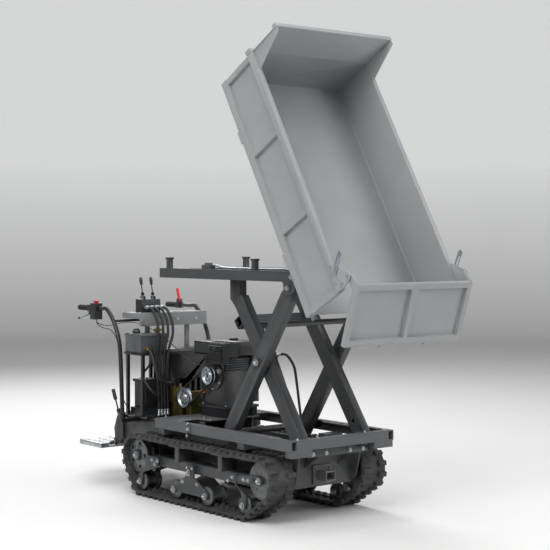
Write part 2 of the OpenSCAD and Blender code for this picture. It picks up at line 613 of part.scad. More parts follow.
module air_cleaner() color("#26272a") {
    x0 = engine_x0 + 174;
    difference() {
        union() {
            bx(x0, x0 + 142, -104, -58.3, engine_z0 + 200, engine_z0 + engine_h + 26);
            bx(x0, x0 + 142, -60, 14, engine_z0 + 241, engine_z0 + engine_h + 26);
            bx(x0 + 8, x0 + 134, -112, -104, engine_z0 + 210, engine_z0 + engine_h + 14);
        }
        for (i = [0 : 3]) bx(x0 + 24, x0 + 118, -116, -109, engine_z0 + 224 + i * 26,
            engine_z0 + 234 + i * 26);
    }
    translate([0, -112, 0]) cy([x0 + 71, engine_z0 + engine_h], -10, 1, 12);
}
module grooved(p, y, r, bore) translate([p.x, y, p.y]) rotate([-90, 0, 0]) rotate_extrude($fn = 64)
    polygon([[bore + run, -14], [r, -14], [r, -10], [r - 13, -4], [r - 13, 4], [r, 10], [r, 14],
        [bore + run, 14]]);
module engine_pulley() color("#8d959c") grooved(crank, -92, pulley_d / 2, 15);
module pump_pulley() color("#8d959c") grooved([-1440, 600], -92, pulley_d / 2 + 10, 12);
module drive_belt() color("#18181a") {
    r1 = pulley_d / 2 - 9.5;
    r2 = r1 + 10;
    q = [-1440, 600];
    translate([0, -87, 0]) rotate([90, 0, 0]) linear_extrude(10) difference() {
        loop2(crank, q, r1 + 9, r2 + 9);
        loop2(crank, q, r1, r2);
    }
}
// outline round two circles, straight between the tangent points
module loop2(p, q, a, b) {
    d = norm(q - p);
    t = atan2(q.y - p.y, q.x - p.x);
    c = acos((a - b) / d);
    polygon(concat([for (k = [0 : 20]) p + a * [cos(t + c + k * (360 - 2 * c) / 20),
            sin(t + c + k * (360 - 2 * c) / 20)]],
        [for (k = [0 : 20]) q + b * [cos(t - c + k * 2 * c / 20), sin(t - c + k * 2 * c / 20)]]));
}
module hose_set() color("#1b1b1c") {
    z = grip_z + 12;
    for (i = [0 : 3]) let (y = -172 + i * 38)
        hose([[-1762.8, y, z], [-1738, y, z], [-1690, y + 2, z - 16], [-1634, y, z - 80],
            [-1606, y - 10, 1000], [-1598, -200 + i * 30, 880], [-1592, -196 + i * 24, 700],
            [-1584, -192 + i * 23, 540], [-1584, -192 + i * 23, plate_z + 0.3]], 9);
    for (i = [0 : 3]) cx(-1763.7, -1738, -172 + i * 38, z, 12);
}

// scissor lift
module outer_arms() color("#333335") {
    a = atan2(head.y - foot.y, head.x - foot.x);
    both() difference() {
        union() {
            translate([foot.x, outer_y, foot.y]) rotate([0, -a, 0]) difference() {
                union() {
                    bx(-40, arm_l - 60, 0, arm_t, -arm_h / 2, arm_h / 2);
                    side_plate([[arm_l - 62, -arm_h / 2], [arm_l - 62, arm_h / 2], [arm_l + 10, 25],
                        [arm_l + 24, 12], [arm_l + 24, -12], [arm_l + 10, -25]], 0, arm_t);
                }
                bx(-60, arm_l - 90, 6, arm_t - 6, -arm_h / 2 + 6, arm_h / 2 - 6);
            }
            cy(mid, outer_y + 0.5, outer_y + arm_t - 0.5, 34);
            cy(foot, outer_y - 4, outer_y + arm_t + 4, 30);
        }
        cy(head, outer_y - 2, outer_y + arm_t + 2, pin_d / 2 + run);
        cy(mid, outer_y - 2, outer_y + arm_t + 2, pin_d / 2 + run);
    }
    // rollers of the lower end and the tubes that tie both sides
    both() cy(foot, outer_y + arm_t, deck_w / 2 - skin - 3, 21);
    cy(foot, -outer_y - 1, outer_y + 1, 20);
    cy(head + 250 * [-cos(a), -sin(a)], -outer_y - 1, outer_y + 1, 17);
}
module inner_arms() color("#363638") {
    a = atan2(knee.y - pivot.y, knee.x - pivot.x);
    l = norm(knee - pivot);
    t = inner_y + arm_t;
    both() difference() {
        union() {
            difference() {
                union() {
                    beam(pivot, knee, arm_h, inner_y, t);
                    // dog-leg: the top end stands upright
                    side_plate([[slide.x - arm_h / 2, slide.y + 20], [slide.x - arm_h / 2, knee.y + 4],
                        knee + arm_h / 2 * [-sin(a), cos(a)] - 26 * [cos(a), sin(a)],
                        knee - arm_h / 2 * [-sin(a), cos(a)] - 10 * [cos(a), sin(a)],
                        [slide.x + arm_h / 2, knee.y + 30], [slide.x + arm_h / 2, slide.y + 20]],
                        inner_y, t);
                }
                translate([pivot.x, 0, pivot.y]) rotate([0, -a, 0]) {
                    bx(60, l - 90, inner_y + 6, t - 6, -arm_h / 2 + 6, arm_h / 2 - 6);
                    for (x = [100, l - 130]) cy([x, 0], inner_y - 1, inner_y + 7, 12);
                }
            }
            cy(pivot, inner_y - 0.5, t + 0.5, arm_h / 2 - 3);
            cy(mid, inner_y + 0.5, t - 0.5, 34);
        }
        cy(pivot, inner_y - 2, t + 2, pin_d / 2 + run);
    }
    // centre pins through the outer arms
    both() {
        cy(mid, t - 2, outer_y + arm_t + 12, pin_d / 2);
        cy(mid, outer_y + arm_t + 1, outer_y + arm_t + 12, pin_d / 2 + 10);
        cy(slide, t - 1, t + 48, 16);
    }
    // square tube that takes the lift cylinder
    c = [lift_eye.x + 70, lift_eye.y + 32];
    translate([c.x, 0, c.y]) rotate([0, -a, 0])
        difference() {
            bx(-31, 31, -t, t, -31, 31);
            bx(-26, 26, -t - 1, t + 1, -26, 26);
        }
    for (e = [-1, 1]) side_plate([[c.x - 6, c.y + 30], [lift_eye.x - 16, lift_eye.y + 22],
        [lift_eye.x - 24, lift_eye.y], [lift_eye.x - 8, lift_eye.y - 24], [lift_eye.x + 20, lift_eye.y - 20],
        [c.x - 2, c.y - 36]], lift_y + e * 32 - 5, lift_y + e * 32 + 5);
    cy(lift_eye, lift_y - 42, lift_y + 42, 14);
}
lift_len = norm(lift_eye - lift_foot);
module lift_barrel() color("#2a2a2c") difference() {
    union() {
        cy(lift_foot, lift_y - 24, lift_y + 24, 26);
        rod(lift_foot, lift_eye, lift_y, 18, 50, 22);
        rod(lift_foot, lift_eye, lift_y, 42, 590, 38);
        rod(lift_foot, lift_eye, lift_y, 584, 622, 43);
        translate([lift_foot.x, lift_y, lift_foot.y])
            rotate([0, 90 - atan2(lift_eye.y - lift_foot.y, lift_eye.x - lift_foot.x), 0])
                translate([-52, 0, 120]) rotate([0, 90, 0]) cylinder(h = 18, r = 12);
    }
    cy(lift_foot, lift_y - 30, lift_y + 30, 14 + run);
    rod(lift_foot, lift_eye, lift_y, 60, 640, 28);
}
module lift_rod() color("#d8dadc") difference() {
    union() {
        cy(lift_eye, lift_y - 24, lift_y + 24, 25);
        rod(lift_eye, lift_foot, lift_y, 20, lift_len - 500, 18);
    }
    cy(lift_eye, lift_y - 30, lift_y + 30, 14 + run);
}

// platform
module platform_frame() color("#303032") {
    z1 = beam_z + beam_h;
    both() {
        channel(-beam_l - 20, -16, 275, 325, beam_z, z1);
        // front bracket with the outer arms' upper pin
        bx(-156, -40, outer_y - 10, 329, beam_z - 6, beam_z);
        for (y = [outer_y - 10, outer_y + arm_t + 1])
            side_plate([[-150, beam_z - 2], [-46, beam_z - 2], [-52, head.y - 20], [-84, head.y - 36],
                [-116, head.y - 36], [-142, head.y - 14]], y, y + 8);
        cy(head, outer_y - 14, outer_y + arm_t + 13, pin_d / 2);
        cy(head, outer_y + arm_t + 8, outer_y + arm_t + 20, pin_d / 2 + 9);
        // hinge pin of the tub
        cy(hinge, 255, 352, hinge_r);
        cy(hinge, 344, 352, hinge_r + 8);
        // stops with rubber caps, rear pair and front pair
        for (x = [45 - beam_l, -450]) {
            bx(x, x + 30, 288, 318, z1 - 2, floor_z - 10);
            bx(x - 4, x + 34, 284, 322, floor_z - 12, floor_z - 1);
        }
    }
    for (x = [-beam_l - 20, -600, -102]) bx(x, x + 44, -276, 276, beam_z + 4, z1 - 4);
    // catch hook beside the hinge
    side_plate([[-128, z1 - 3], [-84, z1 - 3], [-84, z1 + 14], [-118, z1 + 40], [-150, z1 + 40],
        [-150, z1 + 28], [-128, z1 + 22]], -250, -236);
    bx(-102, -84, -262, -230, z1 - 10, z1 + 4);
    // tip cylinder's hanger
    for (e = [-1, 1]) side_plate([[-102, beam_z + 4], [-60, beam_z + 4], [-60, beam_z - 30],
        [tip_foot.x + 30, tip_foot.y - 10], [tip_foot.x + 8, tip_foot.y - 26],
        [tip_foot.x - 14, tip_foot.y - 26], [tip_foot.x - 27, tip_foot.y - 4],
        [tip_foot.x - 20, tip_foot.y + 24], [-108, beam_z - 20]], e * 38 - 5, e * 38 + 5);
    bx(-102, -60, -43, 43, beam_z - 2, beam_z + 6);
    cy(tip_foot, -50, 50, 14);
    // relief valve block on the near channel
    bx(-940, -850, -318, -280, z1 - 1, z1 + 26);
    for (x = [-920, -895, -870]) cz(x, -299, z1 + 24, z1 + 38, 9);
}
module tip_rest() translate([hinge.x, 0, hinge.y]) rotate([0, tip_angle, 0])
    translate([-hinge.x, 0, -hinge.y]) children();
tip_eye_up = hinge + turned(tip_eye.x - hinge.x, tip_eye.y - hinge.y, tip_angle);
module tip_barrel() color("#2a2a2c") difference() {
    union() {
        cy(tip_foot, -28, 28, 26);
        rod(tip_foot, tip_eye_up, 0, 16, 212, 32);
    }
    cy(tip_foot, -40, 40, 14 + run);
    rod(tip_foot, tip_eye_up, 0, 34, 240, 22);
}
module tip_rod() color("#d8dadc") difference() {
    union() {
        cy(tip_eye_up, -24, 24, 22);
        rod(tip_eye_up, tip_foot, 0, 17, 204, 18);
    }
    cy(tip_eye_up, -30, 30, 14 + run);
}

// tub, drawn flat and then tipped
module tub_floor() tip_rest() color("#85888a") {
    y = side_y - 30;
    bx(tub_back, tub_front, -y, y, floor_z + 50 - sheet, floor_z + 50);
    // two long runners and five cross ribs under the sheet
    difference() {
        union() {
            both() bx(tub_back + 40, tub_front - 20, 284, 324, floor_z, floor_z + 48);
            for (i = [0 : 4]) let (x = tub_back + 70 + i * (tub_l - 160) / 4)
                bx(x, x + 40, -y, y, floor_z + 10, floor_z + 48);
        }
        both() bx(tub_back + 30, tub_front + 1, 288, 320, floor_z + 4, floor_z + 44);
        for (i = [0 : 4]) let (x = tub_back + 70 + i * (tub_l - 160) / 4)
            bx(x + 4, x + 36, -y - 1, y + 1, floor_z + 14, floor_z + 44);
    }
    // hinge ears
    both() difference() {
        side_plate([[hinge.x - 24, hinge.y - 12], [hinge.x - 10, hinge.y - 26], [hinge.x + 10, hinge.y - 26],
            [hinge.x + 24, hinge.y - 12], [hinge.x + 90, floor_z + 4], [hinge.x + 90, floor_z + 48],
            [hinge.x - 110, floor_z + 48], [hinge.x - 110, floor_z + 4]], 328, 340);
        cy(hinge, 320, 344, hinge_r + run);
    }
    both() bx(hinge.x - 110, hinge.x + 90, 322, 341, floor_z + 4, floor_z + 48);
    // tip cylinder's ears
    for (e = [-1, 1]) side_plate([[tip_eye.x - 24, tip_eye.y], [tip_eye.x - 12, tip_eye.y - 24],
        [tip_eye.x + 12, tip_eye.y - 24], [tip_eye.x + 24, tip_eye.y], [tip_eye.x + 60, floor_z + 48],
        [tip_eye.x - 60, floor_z + 48]], e * 34 - 5, e * 34 + 5);
    cy(tip_eye, -44, 44, 14);
    // front hooks under the lip
    both() side_plate([[tub_front - 60, floor_z + 6], [tub_front - 20, floor_z - 22],
        [tub_front + 4, floor_z - 22], [tub_front + 4, floor_z - 8], [tub_front - 14, floor_z - 4],
        [tub_front - 20, floor_z + 20], [tub_front - 20, floor_z + 48], [tub_front - 60, floor_z + 48]],
        y - 40, y - 32);
}
module tub_walls() tip_rest() color("#85888a") both() {
    z0 = floor_z + 50;
    y = side_y - 30;
    // side sheet, lower rail, top rail and posts
    difference() {
        union() {
            bx(tub_back, tub_front, y, y + sheet, z0 - 40, wall_top);
            bx(tub_back, tub_front, y + sheet - 1, side_y, z0 - 40, z0 + 8);
            bx(tub_back, tub_front, y + sheet - 1, side_y, wall_top - 44, wall_top);
            for (x = [tub_back, tub_back + tub_l / 3 - 15, tub_back + 2 * tub_l / 3 - 15, tub_front - 34])
                bx(x, x + 34, y + sheet - 1, side_y - 4, z0, wall_top - 40);
        }
        bx(tub_back - 1, tub_front + 1, y + sheet, side_y - sheet, wall_top - 40, wall_top - 4);
        bx(tub_back - 1, tub_front + 1, y + sheet, side_y - sheet, z0 - 36, z0 + 4);
        for (x = [tub_back, tub_back + tub_l / 3 - 15, tub_back + 2 * tub_l / 3 - 15, tub_front - 34])
            bx(x + 4, x + 30, y + sheet, side_y - 8, z0 + 1, wall_top - 41);
    }
    // rope hooks on the lower rail
    for (x = [tub_back + 330, tub_back + 1130])
        pipe([[x, side_y - 6, z0 - 26], [x, side_y + 0, z0 - 46], [x + 70, side_y + 0, z0 - 46],
            [x + 70, side_y - 6, z0 - 26]], 5);
    // gate post with the two hinge and latch plates
    difference() {
        side_plate([[tub_front - 150, wall_top - 42], [tub_front + 2, wall_top - 42],
            [tub_front + 2, wall_top + 10], [gate_pin.x + 20, gate_pin.y + 10],
            [gate_pin.x + 6, gate_pin.y + 20], [gate_pin.x - 10, gate_pin.y + 18],
            [tub_front - 150, wall_top]], side_y - 12, side_y - 4);
        cy(gate_pin, side_y - 20, side_y, 10 + run);
    }
    side_plate([[tub_front - 12, z0 - 36], [tub_front + 2, z0 - 36], [tub_front + 2, wall_top - 40],
        [tub_front - 12, wall_top - 40]], y + 0.3, side_y - 4);
    // stud of the latch lever
    cy([tub_front - 96, wall_top - 16], side_y - 6, side_y + 5, 7);
}
module tub_headboard() tip_rest() color("#85888a") {
    z0 = floor_z + 50;
    y = side_y - 30;
    bx(tub_back - sheet, tub_back, -y - 20, y + 20, z0 - 40, board_top);
    bx(tub_back - 30, tub_back - sheet + 1, -side_y, side_y, wall_top - 50, wall_top - 6);
    bx(tub_back - 24, tub_back - sheet + 1, -y - 20, y + 20, board_top - 30, board_top);
    for (i = [0 : 4]) bx(tub_back - 24, tub_back - sheet + 1, -y + 20 + i * (2 * y - 70) / 4,
        -y + 50 + i * (2 * y - 70) / 4, z0 - 30, board_top - 20);
    both() side_plate([[tub_back - 1, wall_top], [tub_back + 120, wall_top], [tub_back + 30, board_top],
        [tub_back - 1, board_top]], y + 10, y + 10 + sheet);
    both() bx(tub_back - 1, tub_back + 118, y - 1, y + 14, wall_top, wall_top + 6);
}
module gate_rest() tip_rest() translate([gate_pin.x, 0, gate_pin.y]) rotate([0, -gate_angle, 0])
    translate([-gate_pin.x, 0, -gate_pin.y]) children();
module gate() gate_rest() color("#7f8284") {
    z0 = floor_z + 34;
    z1 = gate_pin.y - 26;
    x = tub_front + 6;
    y = side_y - 16;
    difference() {
        union() {
            bx(x, x + sheet, -y, y, z0, z1);
            bx(x + sheet - 1, x + 28, -y, y, z1 - 34, z1);
            bx(x + sheet - 1, x + 28, -y, y, z0, z0 + 36);
            for (e = [-1, 1]) bx(x + sheet - 1, x + 28, e * (y - 15) - 15, e * (y - 15) + 15, z0, z1);
            // tapered middle rib
            translate([x + sheet - 1, 0, 0]) rotate([90, 0, 90]) linear_extrude(25)
                polygon([[-24, z1], [24, z1], [14, z0], [-14, z0]]);
        }
        bx(x + 10, x + 22, -y - 1, y + 1, z1 - 28, z1 - 8);
    }
    // swinging ears with their pins
    both() {
        side_plate([[x, z1 - 40], [x + 26, z1 - 40], [x + 26, z1 + 6], [gate_pin.x + 14, gate_pin.y + 12],
            [gate_pin.x, gate_pin.y + 17], [gate_pin.x - 13, gate_pin.y + 10],
            [gate_pin.x - 15, gate_pin.y - 6], [gate_pin.x - 4, gate_pin.y - 16]], y - 10, y);
        cy(gate_pin, y - 2, side_y - 1, 10);
    }
    // lower latch lugs
    both() side_plate([[x + 4, z0 + 30], [x + 28, z0 + 30], [x + 22, z0 - 14], [x + 8, z0 - 14]],
        160, 172);
}
module gate_latch(s) tip_rest() color("#6f7274") {
    p = [tub_front - 96, wall_top - 16];
    y0 = s > 0 ? side_y + 0.4 : -side_y - 4.4;
    difference() {
        side_plate([[p.x - 12, p.y - 12], [p.x + 10, p.y - 12], [p.x + 15, p.y], [p.x + 10, p.y + 16],
            [p.x - 60, p.y + 118], [p.x - 84, p.y + 112], [p.x - 84, p.y + 96], [p.x - 16, p.y + 4]],
            y0, y0 + 4);
        cy(p, -side_y - 20, side_y + 20, 7 + run);
        side_plate([[p.x - 22, p.y + 34], [p.x - 14, p.y + 40], [p.x - 50, p.y + 92], [p.x - 58, p.y + 86]],
            -side_y - 20, side_y + 20);
    }
}

translate([ox, 0, 0]) {
    deck_frame();
    deck_floor();
    chassis_tray();
    tow_hitch();
    color("#39393b") track_frame(-track_y, -1);  // track_frame_right
    color("#39393b") track_frame(track_y, 1);  // track_frame_left
    color("#303031") belt(-track_y);  // track_belt_right
    color("#303031") belt(track_y);  // track_belt_left
    color("#77797b") sprocket(-track_y);  // sprocket_right
    color("#77797b") sprocket(track_y);  // sprocket_left
    color("#77797b") idler(-track_y);  // idler_right
    color("#77797b") idler(track_y);  // idler_left
    color("#6e7072") roller(0, -track_y);  // roller_right_1
    color("#6e7072") roller(1, -track_y);  // roller_right_2
    color("#6e7072") roller(2, -track_y);  // roller_right_3
    color("#6e7072") roller(3, -track_y);  // roller_right_4
    color("#6e7072") roller(0, track_y);  // roller_left_1
    color("#6e7072") roller(1, track_y);  // roller_left_2
    color("#6e7072") roller(2, track_y);  // roller_left_3
    color("#6e7072") roller(3, track_y);  // roller_left_4
    rear_body();
    rear_cover();
    foot_step();
    handlebar();
    grip(-1);  // grip_right
    grip(1);  // grip_left
    console();
    control_valve();
    valve_lever(-155);  // lift_lever
    valve_lever(-75);  // tip_lever
    clutch_lever();
    safety_lever();
    gear_lever();
    switch_box();
    stop_button();
    hydraulic_tank();
    brass_valves();
    battery_box();
    hydraulic_pump();
    engine_block();
    engine_shroud();
    muffler_guard();
    air_cleaner();
    engine_pulley();
    pump_pulley();
    drive_belt();
    hose_set();
    outer_arms();
    inner_arms();
    lift_barrel();
    lift_rod();
    platform_frame();
    tip_barrel();
    tip_rod();
    tub_floor();
    tub_walls();
    tub_headboard();
    gate();
    gate_latch(-1);  // gate_latch_right
    gate_latch(1);  // gate_latch_left
}
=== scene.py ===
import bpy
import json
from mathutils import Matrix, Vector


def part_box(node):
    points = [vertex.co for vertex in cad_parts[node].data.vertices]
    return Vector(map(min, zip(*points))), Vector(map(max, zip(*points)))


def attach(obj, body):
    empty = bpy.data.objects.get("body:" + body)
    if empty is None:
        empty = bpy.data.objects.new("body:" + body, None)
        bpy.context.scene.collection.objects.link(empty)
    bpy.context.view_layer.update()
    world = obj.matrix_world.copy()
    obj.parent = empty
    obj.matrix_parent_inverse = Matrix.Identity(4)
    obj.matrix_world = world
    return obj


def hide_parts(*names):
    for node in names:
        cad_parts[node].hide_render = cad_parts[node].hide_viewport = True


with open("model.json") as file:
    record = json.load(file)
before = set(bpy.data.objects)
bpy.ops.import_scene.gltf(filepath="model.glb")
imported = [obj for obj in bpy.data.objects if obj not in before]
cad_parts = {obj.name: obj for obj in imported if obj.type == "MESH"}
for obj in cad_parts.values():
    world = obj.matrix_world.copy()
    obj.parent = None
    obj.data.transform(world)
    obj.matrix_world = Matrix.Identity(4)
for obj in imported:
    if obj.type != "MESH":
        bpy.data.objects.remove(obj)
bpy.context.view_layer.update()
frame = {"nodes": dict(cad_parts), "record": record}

# %% [markdown]
# A tracked power carrier: two rubber tracks, a steel deck, a petrol engine that drives a hydraulic pump,
# a scissor lift, and a sheet-steel tub that tips forward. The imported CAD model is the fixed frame: it says
# where everything is and what moves. This lesson dresses it. First come the helpers, then the finishes,
# then the machine from the ground up, and last the studio.

# %% Imports and the origin
import json
import math
import bmesh
import bpy
from mathutils import Matrix, Vector

MM = 0.001
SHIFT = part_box("deck_frame")[1].x / MM      # the drawing is measured from the deck's front edge


def at(x, y, z):
    """A point given in mm from the deck's front edge, as the drawing has it, in Blender's metres."""
    return Vector(((x + SHIFT) * MM, y * MM, z * MM))


# %% [markdown]
# The deck, the tracks and the engine stand square to the world, but the tub is tipped by 60 degrees and
# the tailgate hangs from it at its own angle. It is easier to draw a bolt on a tub that lies flat. So each
# tilted part gets a matrix that carries a flat drawing to its resting place, worked out from the same
# lengths and angles as in the CAD source.

# %% Where the tilted parts rest
ARM = 1050.0
LIFT = math.radians(56.5)
PIVOT = (-100.0, 470.0)
FOOT = (PIVOT[0] - ARM * math.cos(LIFT), 470.0)
HEAD = (PIVOT[0], 470.0 + ARM * math.sin(LIFT))
BEAM_Z = HEAD[1] + 34
HINGE = (-50.0, BEAM_Z + 30)
FLOOR = HINGE[1] + 98
WALL_TOP = FLOOR + 334
BOARD_TOP = WALL_TOP + 240
GATE_PIN = (220.0, WALL_TOP + 72)
TUB_FRONT, TUB_BACK, TUB_HALF = 260.0, -1260.0, 450.0
CRANK = (-1180.0, 760.0)


def turned_about(point, degrees):
    """The matrix of a turn about a cross-wise axis through a point of the drawing."""
    centre = at(point[0], 0, point[1])
    turn = Matrix.Rotation(math.radians(degrees), 4, "Y")
    return Matrix.Translation(centre) @ turn @ Matrix.Translation(-centre)


TIPPED = turned_about(HINGE, 60)
GATE_HUNG = TIPPED @ turned_about(GATE_PIN, -43)
print("tub hinge at", [round(v, 3) for v in at(HINGE[0], 0, HINGE[1])])

# %% [markdown]
# One small function adds a shader node with its settings and its links. A colour is written as the sRGB
# hex value that a painter would pick from a photograph, and one function turns it into the linear light
# that Blender counts in.

# %% Colour and shader helpers
def linear(code):
    """An sRGB hex colour as linear red, green, blue and alpha."""
    parts = [int(code[i:i + 2], 16) / 255 for i in (1, 3, 5)]
    return tuple(c / 12.92 if c <= 0.04045 else ((c + 0.055) / 1.055) ** 2.4 for c in parts) + (1.0,)


def add_node(tree, kind, settings=None, **inputs):
    """Adds one node. Settings are its own values; an input is a number, a colour or another socket."""
    node = tree.nodes.new(kind)
    for key, value in (settings or {}).items():
        setattr(node, key, value)
    for key, value in inputs.items():
        socket = node.inputs[int(key[1:]) if key[0] == "_" and key[1:].isdigit() else key.replace("_", " ")]
        if isinstance(value, bpy.types.NodeSocket):
            tree.links.new(value, socket)
        else:
            socket.default_value = value
    return node


def new_material(name, **shader):
    """A material with a Principled shader set to its uniform values, and object-space coordinates."""
    material = bpy.data.materials.new(name)
    material.use_nodes = True
    tree = material.node_tree
    tree.nodes.clear()
    surface = add_node(tree, "ShaderNodeBsdfPrincipled", None, **shader)
    output = add_node(tree, "ShaderNodeOutputMaterial")
    tree.links.new(surface.outputs[0], output.inputs["Surface"])
    place = add_node(tree, "ShaderNodeTexCoord").outputs["Object"]
    return material, tree, surface, place


def grain(tree, place, size_mm, detail=3.0, rough=0.55, stretch=None):
    """Noise whose blotches are about size_mm across, as a 0 to 1 value."""
    if stretch:
        place = add_node(tree, "ShaderNodeMapping", Vector=place, Scale=stretch).outputs[0]
    return add_node(tree, "ShaderNodeTexNoise", Vector=place, Scale=1000.0 / size_mm, Detail=detail,
                    Roughness=rough).outputs["Fac"]


def band(tree, value, low, high, to_low=0.0, to_high=1.0):
    """Stretches a part of a value's range to another range."""
    return add_node(tree, "ShaderNodeMapRange", _0=value, _1=low, _2=high, _3=to_low, _4=to_high).outputs[0]


def blend_colours(tree, amount, first, second):
    """A mix of two colours or sockets by an amount."""
    mix = add_node(tree, "ShaderNodeMix", {"data_type": "RGBA"}, _0=amount, _6=first, _7=second)
    return mix.outputs[2]


def bump(tree, surface, height, depth_mm, previous=None):
    """Adds fine relief of a real depth to a surface."""
    inputs = {"Height": height, "Strength": 1.0, "Distance": depth_mm * MM}
    if previous:
        inputs["Normal"] = previous
    out = add_node(tree, "ShaderNodeBump", None, **inputs).outputs[0]
    tree.links.new(out, surface.inputs["Normal"])
    return out


print("shader helpers ready")

# %% [markdown]
# Sheet steel on such a machine is powder coated. The powder melts into a skin with a faint orange peel,
# ripples 1 to 2 mm across, and handling leaves a slight unevenness in its sheen and dust in its colour.
# A flat colour shows none of this, so every painted part gets the ripple as relief and two scales of
# noise in colour and roughness. The ripple is drawn at 3 mm, a little coarse, so that it still shows.

# %% Painted steel
def powder_coat(name, code, dusty, roughness, peel_mm=3.0, peel_depth=0.05, dust=0.35, coat=0.0):
    """Powder-coated steel: one tint, a dustier tint in soft clouds, and the orange peel of the coat."""
    material, tree, surface, place = new_material(name, IOR=1.5, Coat_Weight=coat, Coat_Roughness=0.12)
    clouds = grain(tree, place, 160, 4.0)
    specks = grain(tree, place, 14, 3.0, 0.7)
    fade = band(tree, clouds, 0.35, 0.72, 0.0, dust)
    colour = blend_colours(tree, fade, linear(code), linear(dusty))
    flecks = band(tree, specks, 0.62, 0.78, 0.0, 0.22)
    colour = blend_colours(tree, flecks, colour, linear(dusty))
    tree.links.new(colour, surface.inputs["Base Color"])
    sheen_change = band(tree, clouds, 0.3, 0.75, roughness - 0.05, roughness + 0.1)
    tree.links.new(sheen_change, surface.inputs["Roughness"])
    bump(tree, surface, grain(tree, place, peel_mm, 1.0), peel_depth)
    return material


PAINT = {
    "tub_paint": powder_coat("powder_coat_mid_grey", "#8b8d8f", "#989a9b", 0.36, dust=0.3),
    "deck_paint": powder_coat("powder_coat_slate", "#4e4f51", "#5f6061", 0.42),
    "lift_paint": powder_coat("powder_coat_anthracite", "#38393b", "#4a4b4c", 0.38),
    "black_paint": powder_coat("powder_coat_black", "#191a1c", "#2c2d2f", 0.33),
    "console_paint": powder_coat("powder_coat_console_grey", "#77797b", "#858788", 0.38),
    "tank_paint": powder_coat("powder_coat_tank_grey", "#4b4d50", "#5d5f61", 0.4),
    "cylinder_paint": powder_coat("gloss_enamel_black", "#1b1c1e", "#2a2b2d", 0.2, 5.0, 0.03, 0.2, 0.5),
}
print("painted finishes:", len(PAINT))

# %% [markdown]
# Rubber is dark but never black outdoors: dust sits in its pores and on the lugs. Track rubber is
# moulded, dull and slightly pitted; hose rubber is smoother, with the fine wrap lines of its mould.

# %% Rubber
def rubber(name, code, dusty, roughness, pore_mm, depth, dust):
    """Matt rubber with pores and a film of dust."""
    material, tree, surface, place = new_material(name, IOR=1.52, Specular_IOR_Level=0.35)
    film = band(tree, grain(tree, place, 60, 5.0, 0.65), 0.38, 0.75, 0.0, dust)
    tree.links.new(blend_colours(tree, film, linear(code), linear(dusty)), surface.inputs["Base Color"])
    tree.links.new(band(tree, film, 0.0, 1.0, roughness, min(roughness + 0.2, 1.0)),
                   surface.inputs["Roughness"])
    bump(tree, surface, grain(tree, place, pore_mm, 3.0, 0.7), depth)
    return material


RUBBER = {
    "track_rubber": rubber("track_rubber_moulded", "#2f3031", "#5a5a58", 0.72, 5.0, 0.35, 0.6),
    "grip_rubber": rubber("grip_rubber_soft", "#18191a", "#2d2d2e", 0.6, 2.0, 0.08, 0.3),
    "belt_rubber": rubber("v_belt_rubber", "#1c1c1d", "#3a3a3a", 0.66, 2.5, 0.1, 0.4),
    "hose_rubber": rubber("hydraulic_hose_rubber", "#1a1b1c", "#303031", 0.45, 3.0, 0.1, 0.25),
}
print("rubber finishes:", len(RUBBER))

# %% [markdown]
# Bare metals differ by how they were made. A casting is grainy and dull, zinc plating is bright with a
# cloudy, slightly blue sheen, a cylinder rod is ground and chromed until it mirrors, and cast brass is
# warm with dark tarnish in its hollows. All are fully metallic, so only tint and roughness tell them apart.

# %% Bare metals
def metal(name, code, tarnish, roughness, grain_mm, depth, age=0.4, stretch=None):
    """A bare metal whose tint and roughness wander between clean and tarnished."""
    material, tree, surface, place = new_material(name, Metallic=1.0)
    stain = band(tree, grain(tree, place, 45, 5.0, 0.6), 0.36, 0.72, 0.0, age)
    tree.links.new(blend_colours(tree, stain, linear(code), linear(tarnish)), surface.inputs["Base Color"])
    tree.links.new(band(tree, stain, 0.0, 1.0, roughness, min(roughness + 0.35, 1.0)),
                   surface.inputs["Roughness"])
    bump(tree, surface, grain(tree, place, grain_mm, 3.0, 0.6, stretch), depth)
    return material


METAL = {
    "cast_steel": metal("cast_steel_machined", "#7e8082", "#4d4c4a", 0.42, 4.0, 0.12, 0.6),
    "zinc": metal("zinc_plated_steel", "#b9c0c6", "#8b9097", 0.3, 7.0, 0.03, 0.5),
    "step_zinc": metal("galvanised_tread_sheet", "#c6c9cb", "#9a9c9d", 0.34, 12.0, 0.05, 0.6),
    "chrome_rod": metal("ground_chrome", "#d9dcde", "#b9bcbf", 0.07, 30.0, 0.004, 0.15),
    "brass": metal("cast_brass", "#b8924a", "#6e5526", 0.32, 4.0, 0.08, 0.5),
    "olive_metal": metal("cast_pump_body", "#7b7247", "#4a4429", 0.5, 5.0, 0.15, 0.5),
    "valve_metal": metal("cast_valve_block", "#5b5d60", "#37383a", 0.46, 4.0, 0.12, 0.5),
    "bolt": metal("zinc_bolt", "#c2c6ca", "#8e9196", 0.28, 3.0, 0.03, 0.5),
    "engine_alloy": metal("die_cast_alloy", "#8f9396", "#5c5f62", 0.4, 5.0, 0.1, 0.5),
}
print("metal finishes:", len(METAL))

# %% [markdown]
# The battery case, the switch box and the air cleaner are moulded plastic: ABS or polypropylene with a
# spark-eroded grain that scatters light. The button and the safety lever are glossy red ABS. The engine's
# own cowls are pressed steel in a semi-gloss black stoved paint.

# %% Plastics and engine paint
def moulded(name, code, worn, roughness, grain_mm=1.6, depth=0.05):
    """Moulded plastic with a fine eroded grain and slightly rubbed places."""
    material, tree, surface, place = new_material(name, IOR=1.49)
    rub = band(tree, grain(tree, place, 70, 4.0), 0.4, 0.75, 0.0, 0.35)
    tree.links.new(blend_colours(tree, rub, linear(code), linear(worn)), surface.inputs["Base Color"])
    tree.links.new(band(tree, rub, 0.0, 1.0, roughness, roughness + 0.15), surface.inputs["Roughness"])
    bump(tree, surface, grain(tree, place, grain_mm, 2.0), depth)
    return material


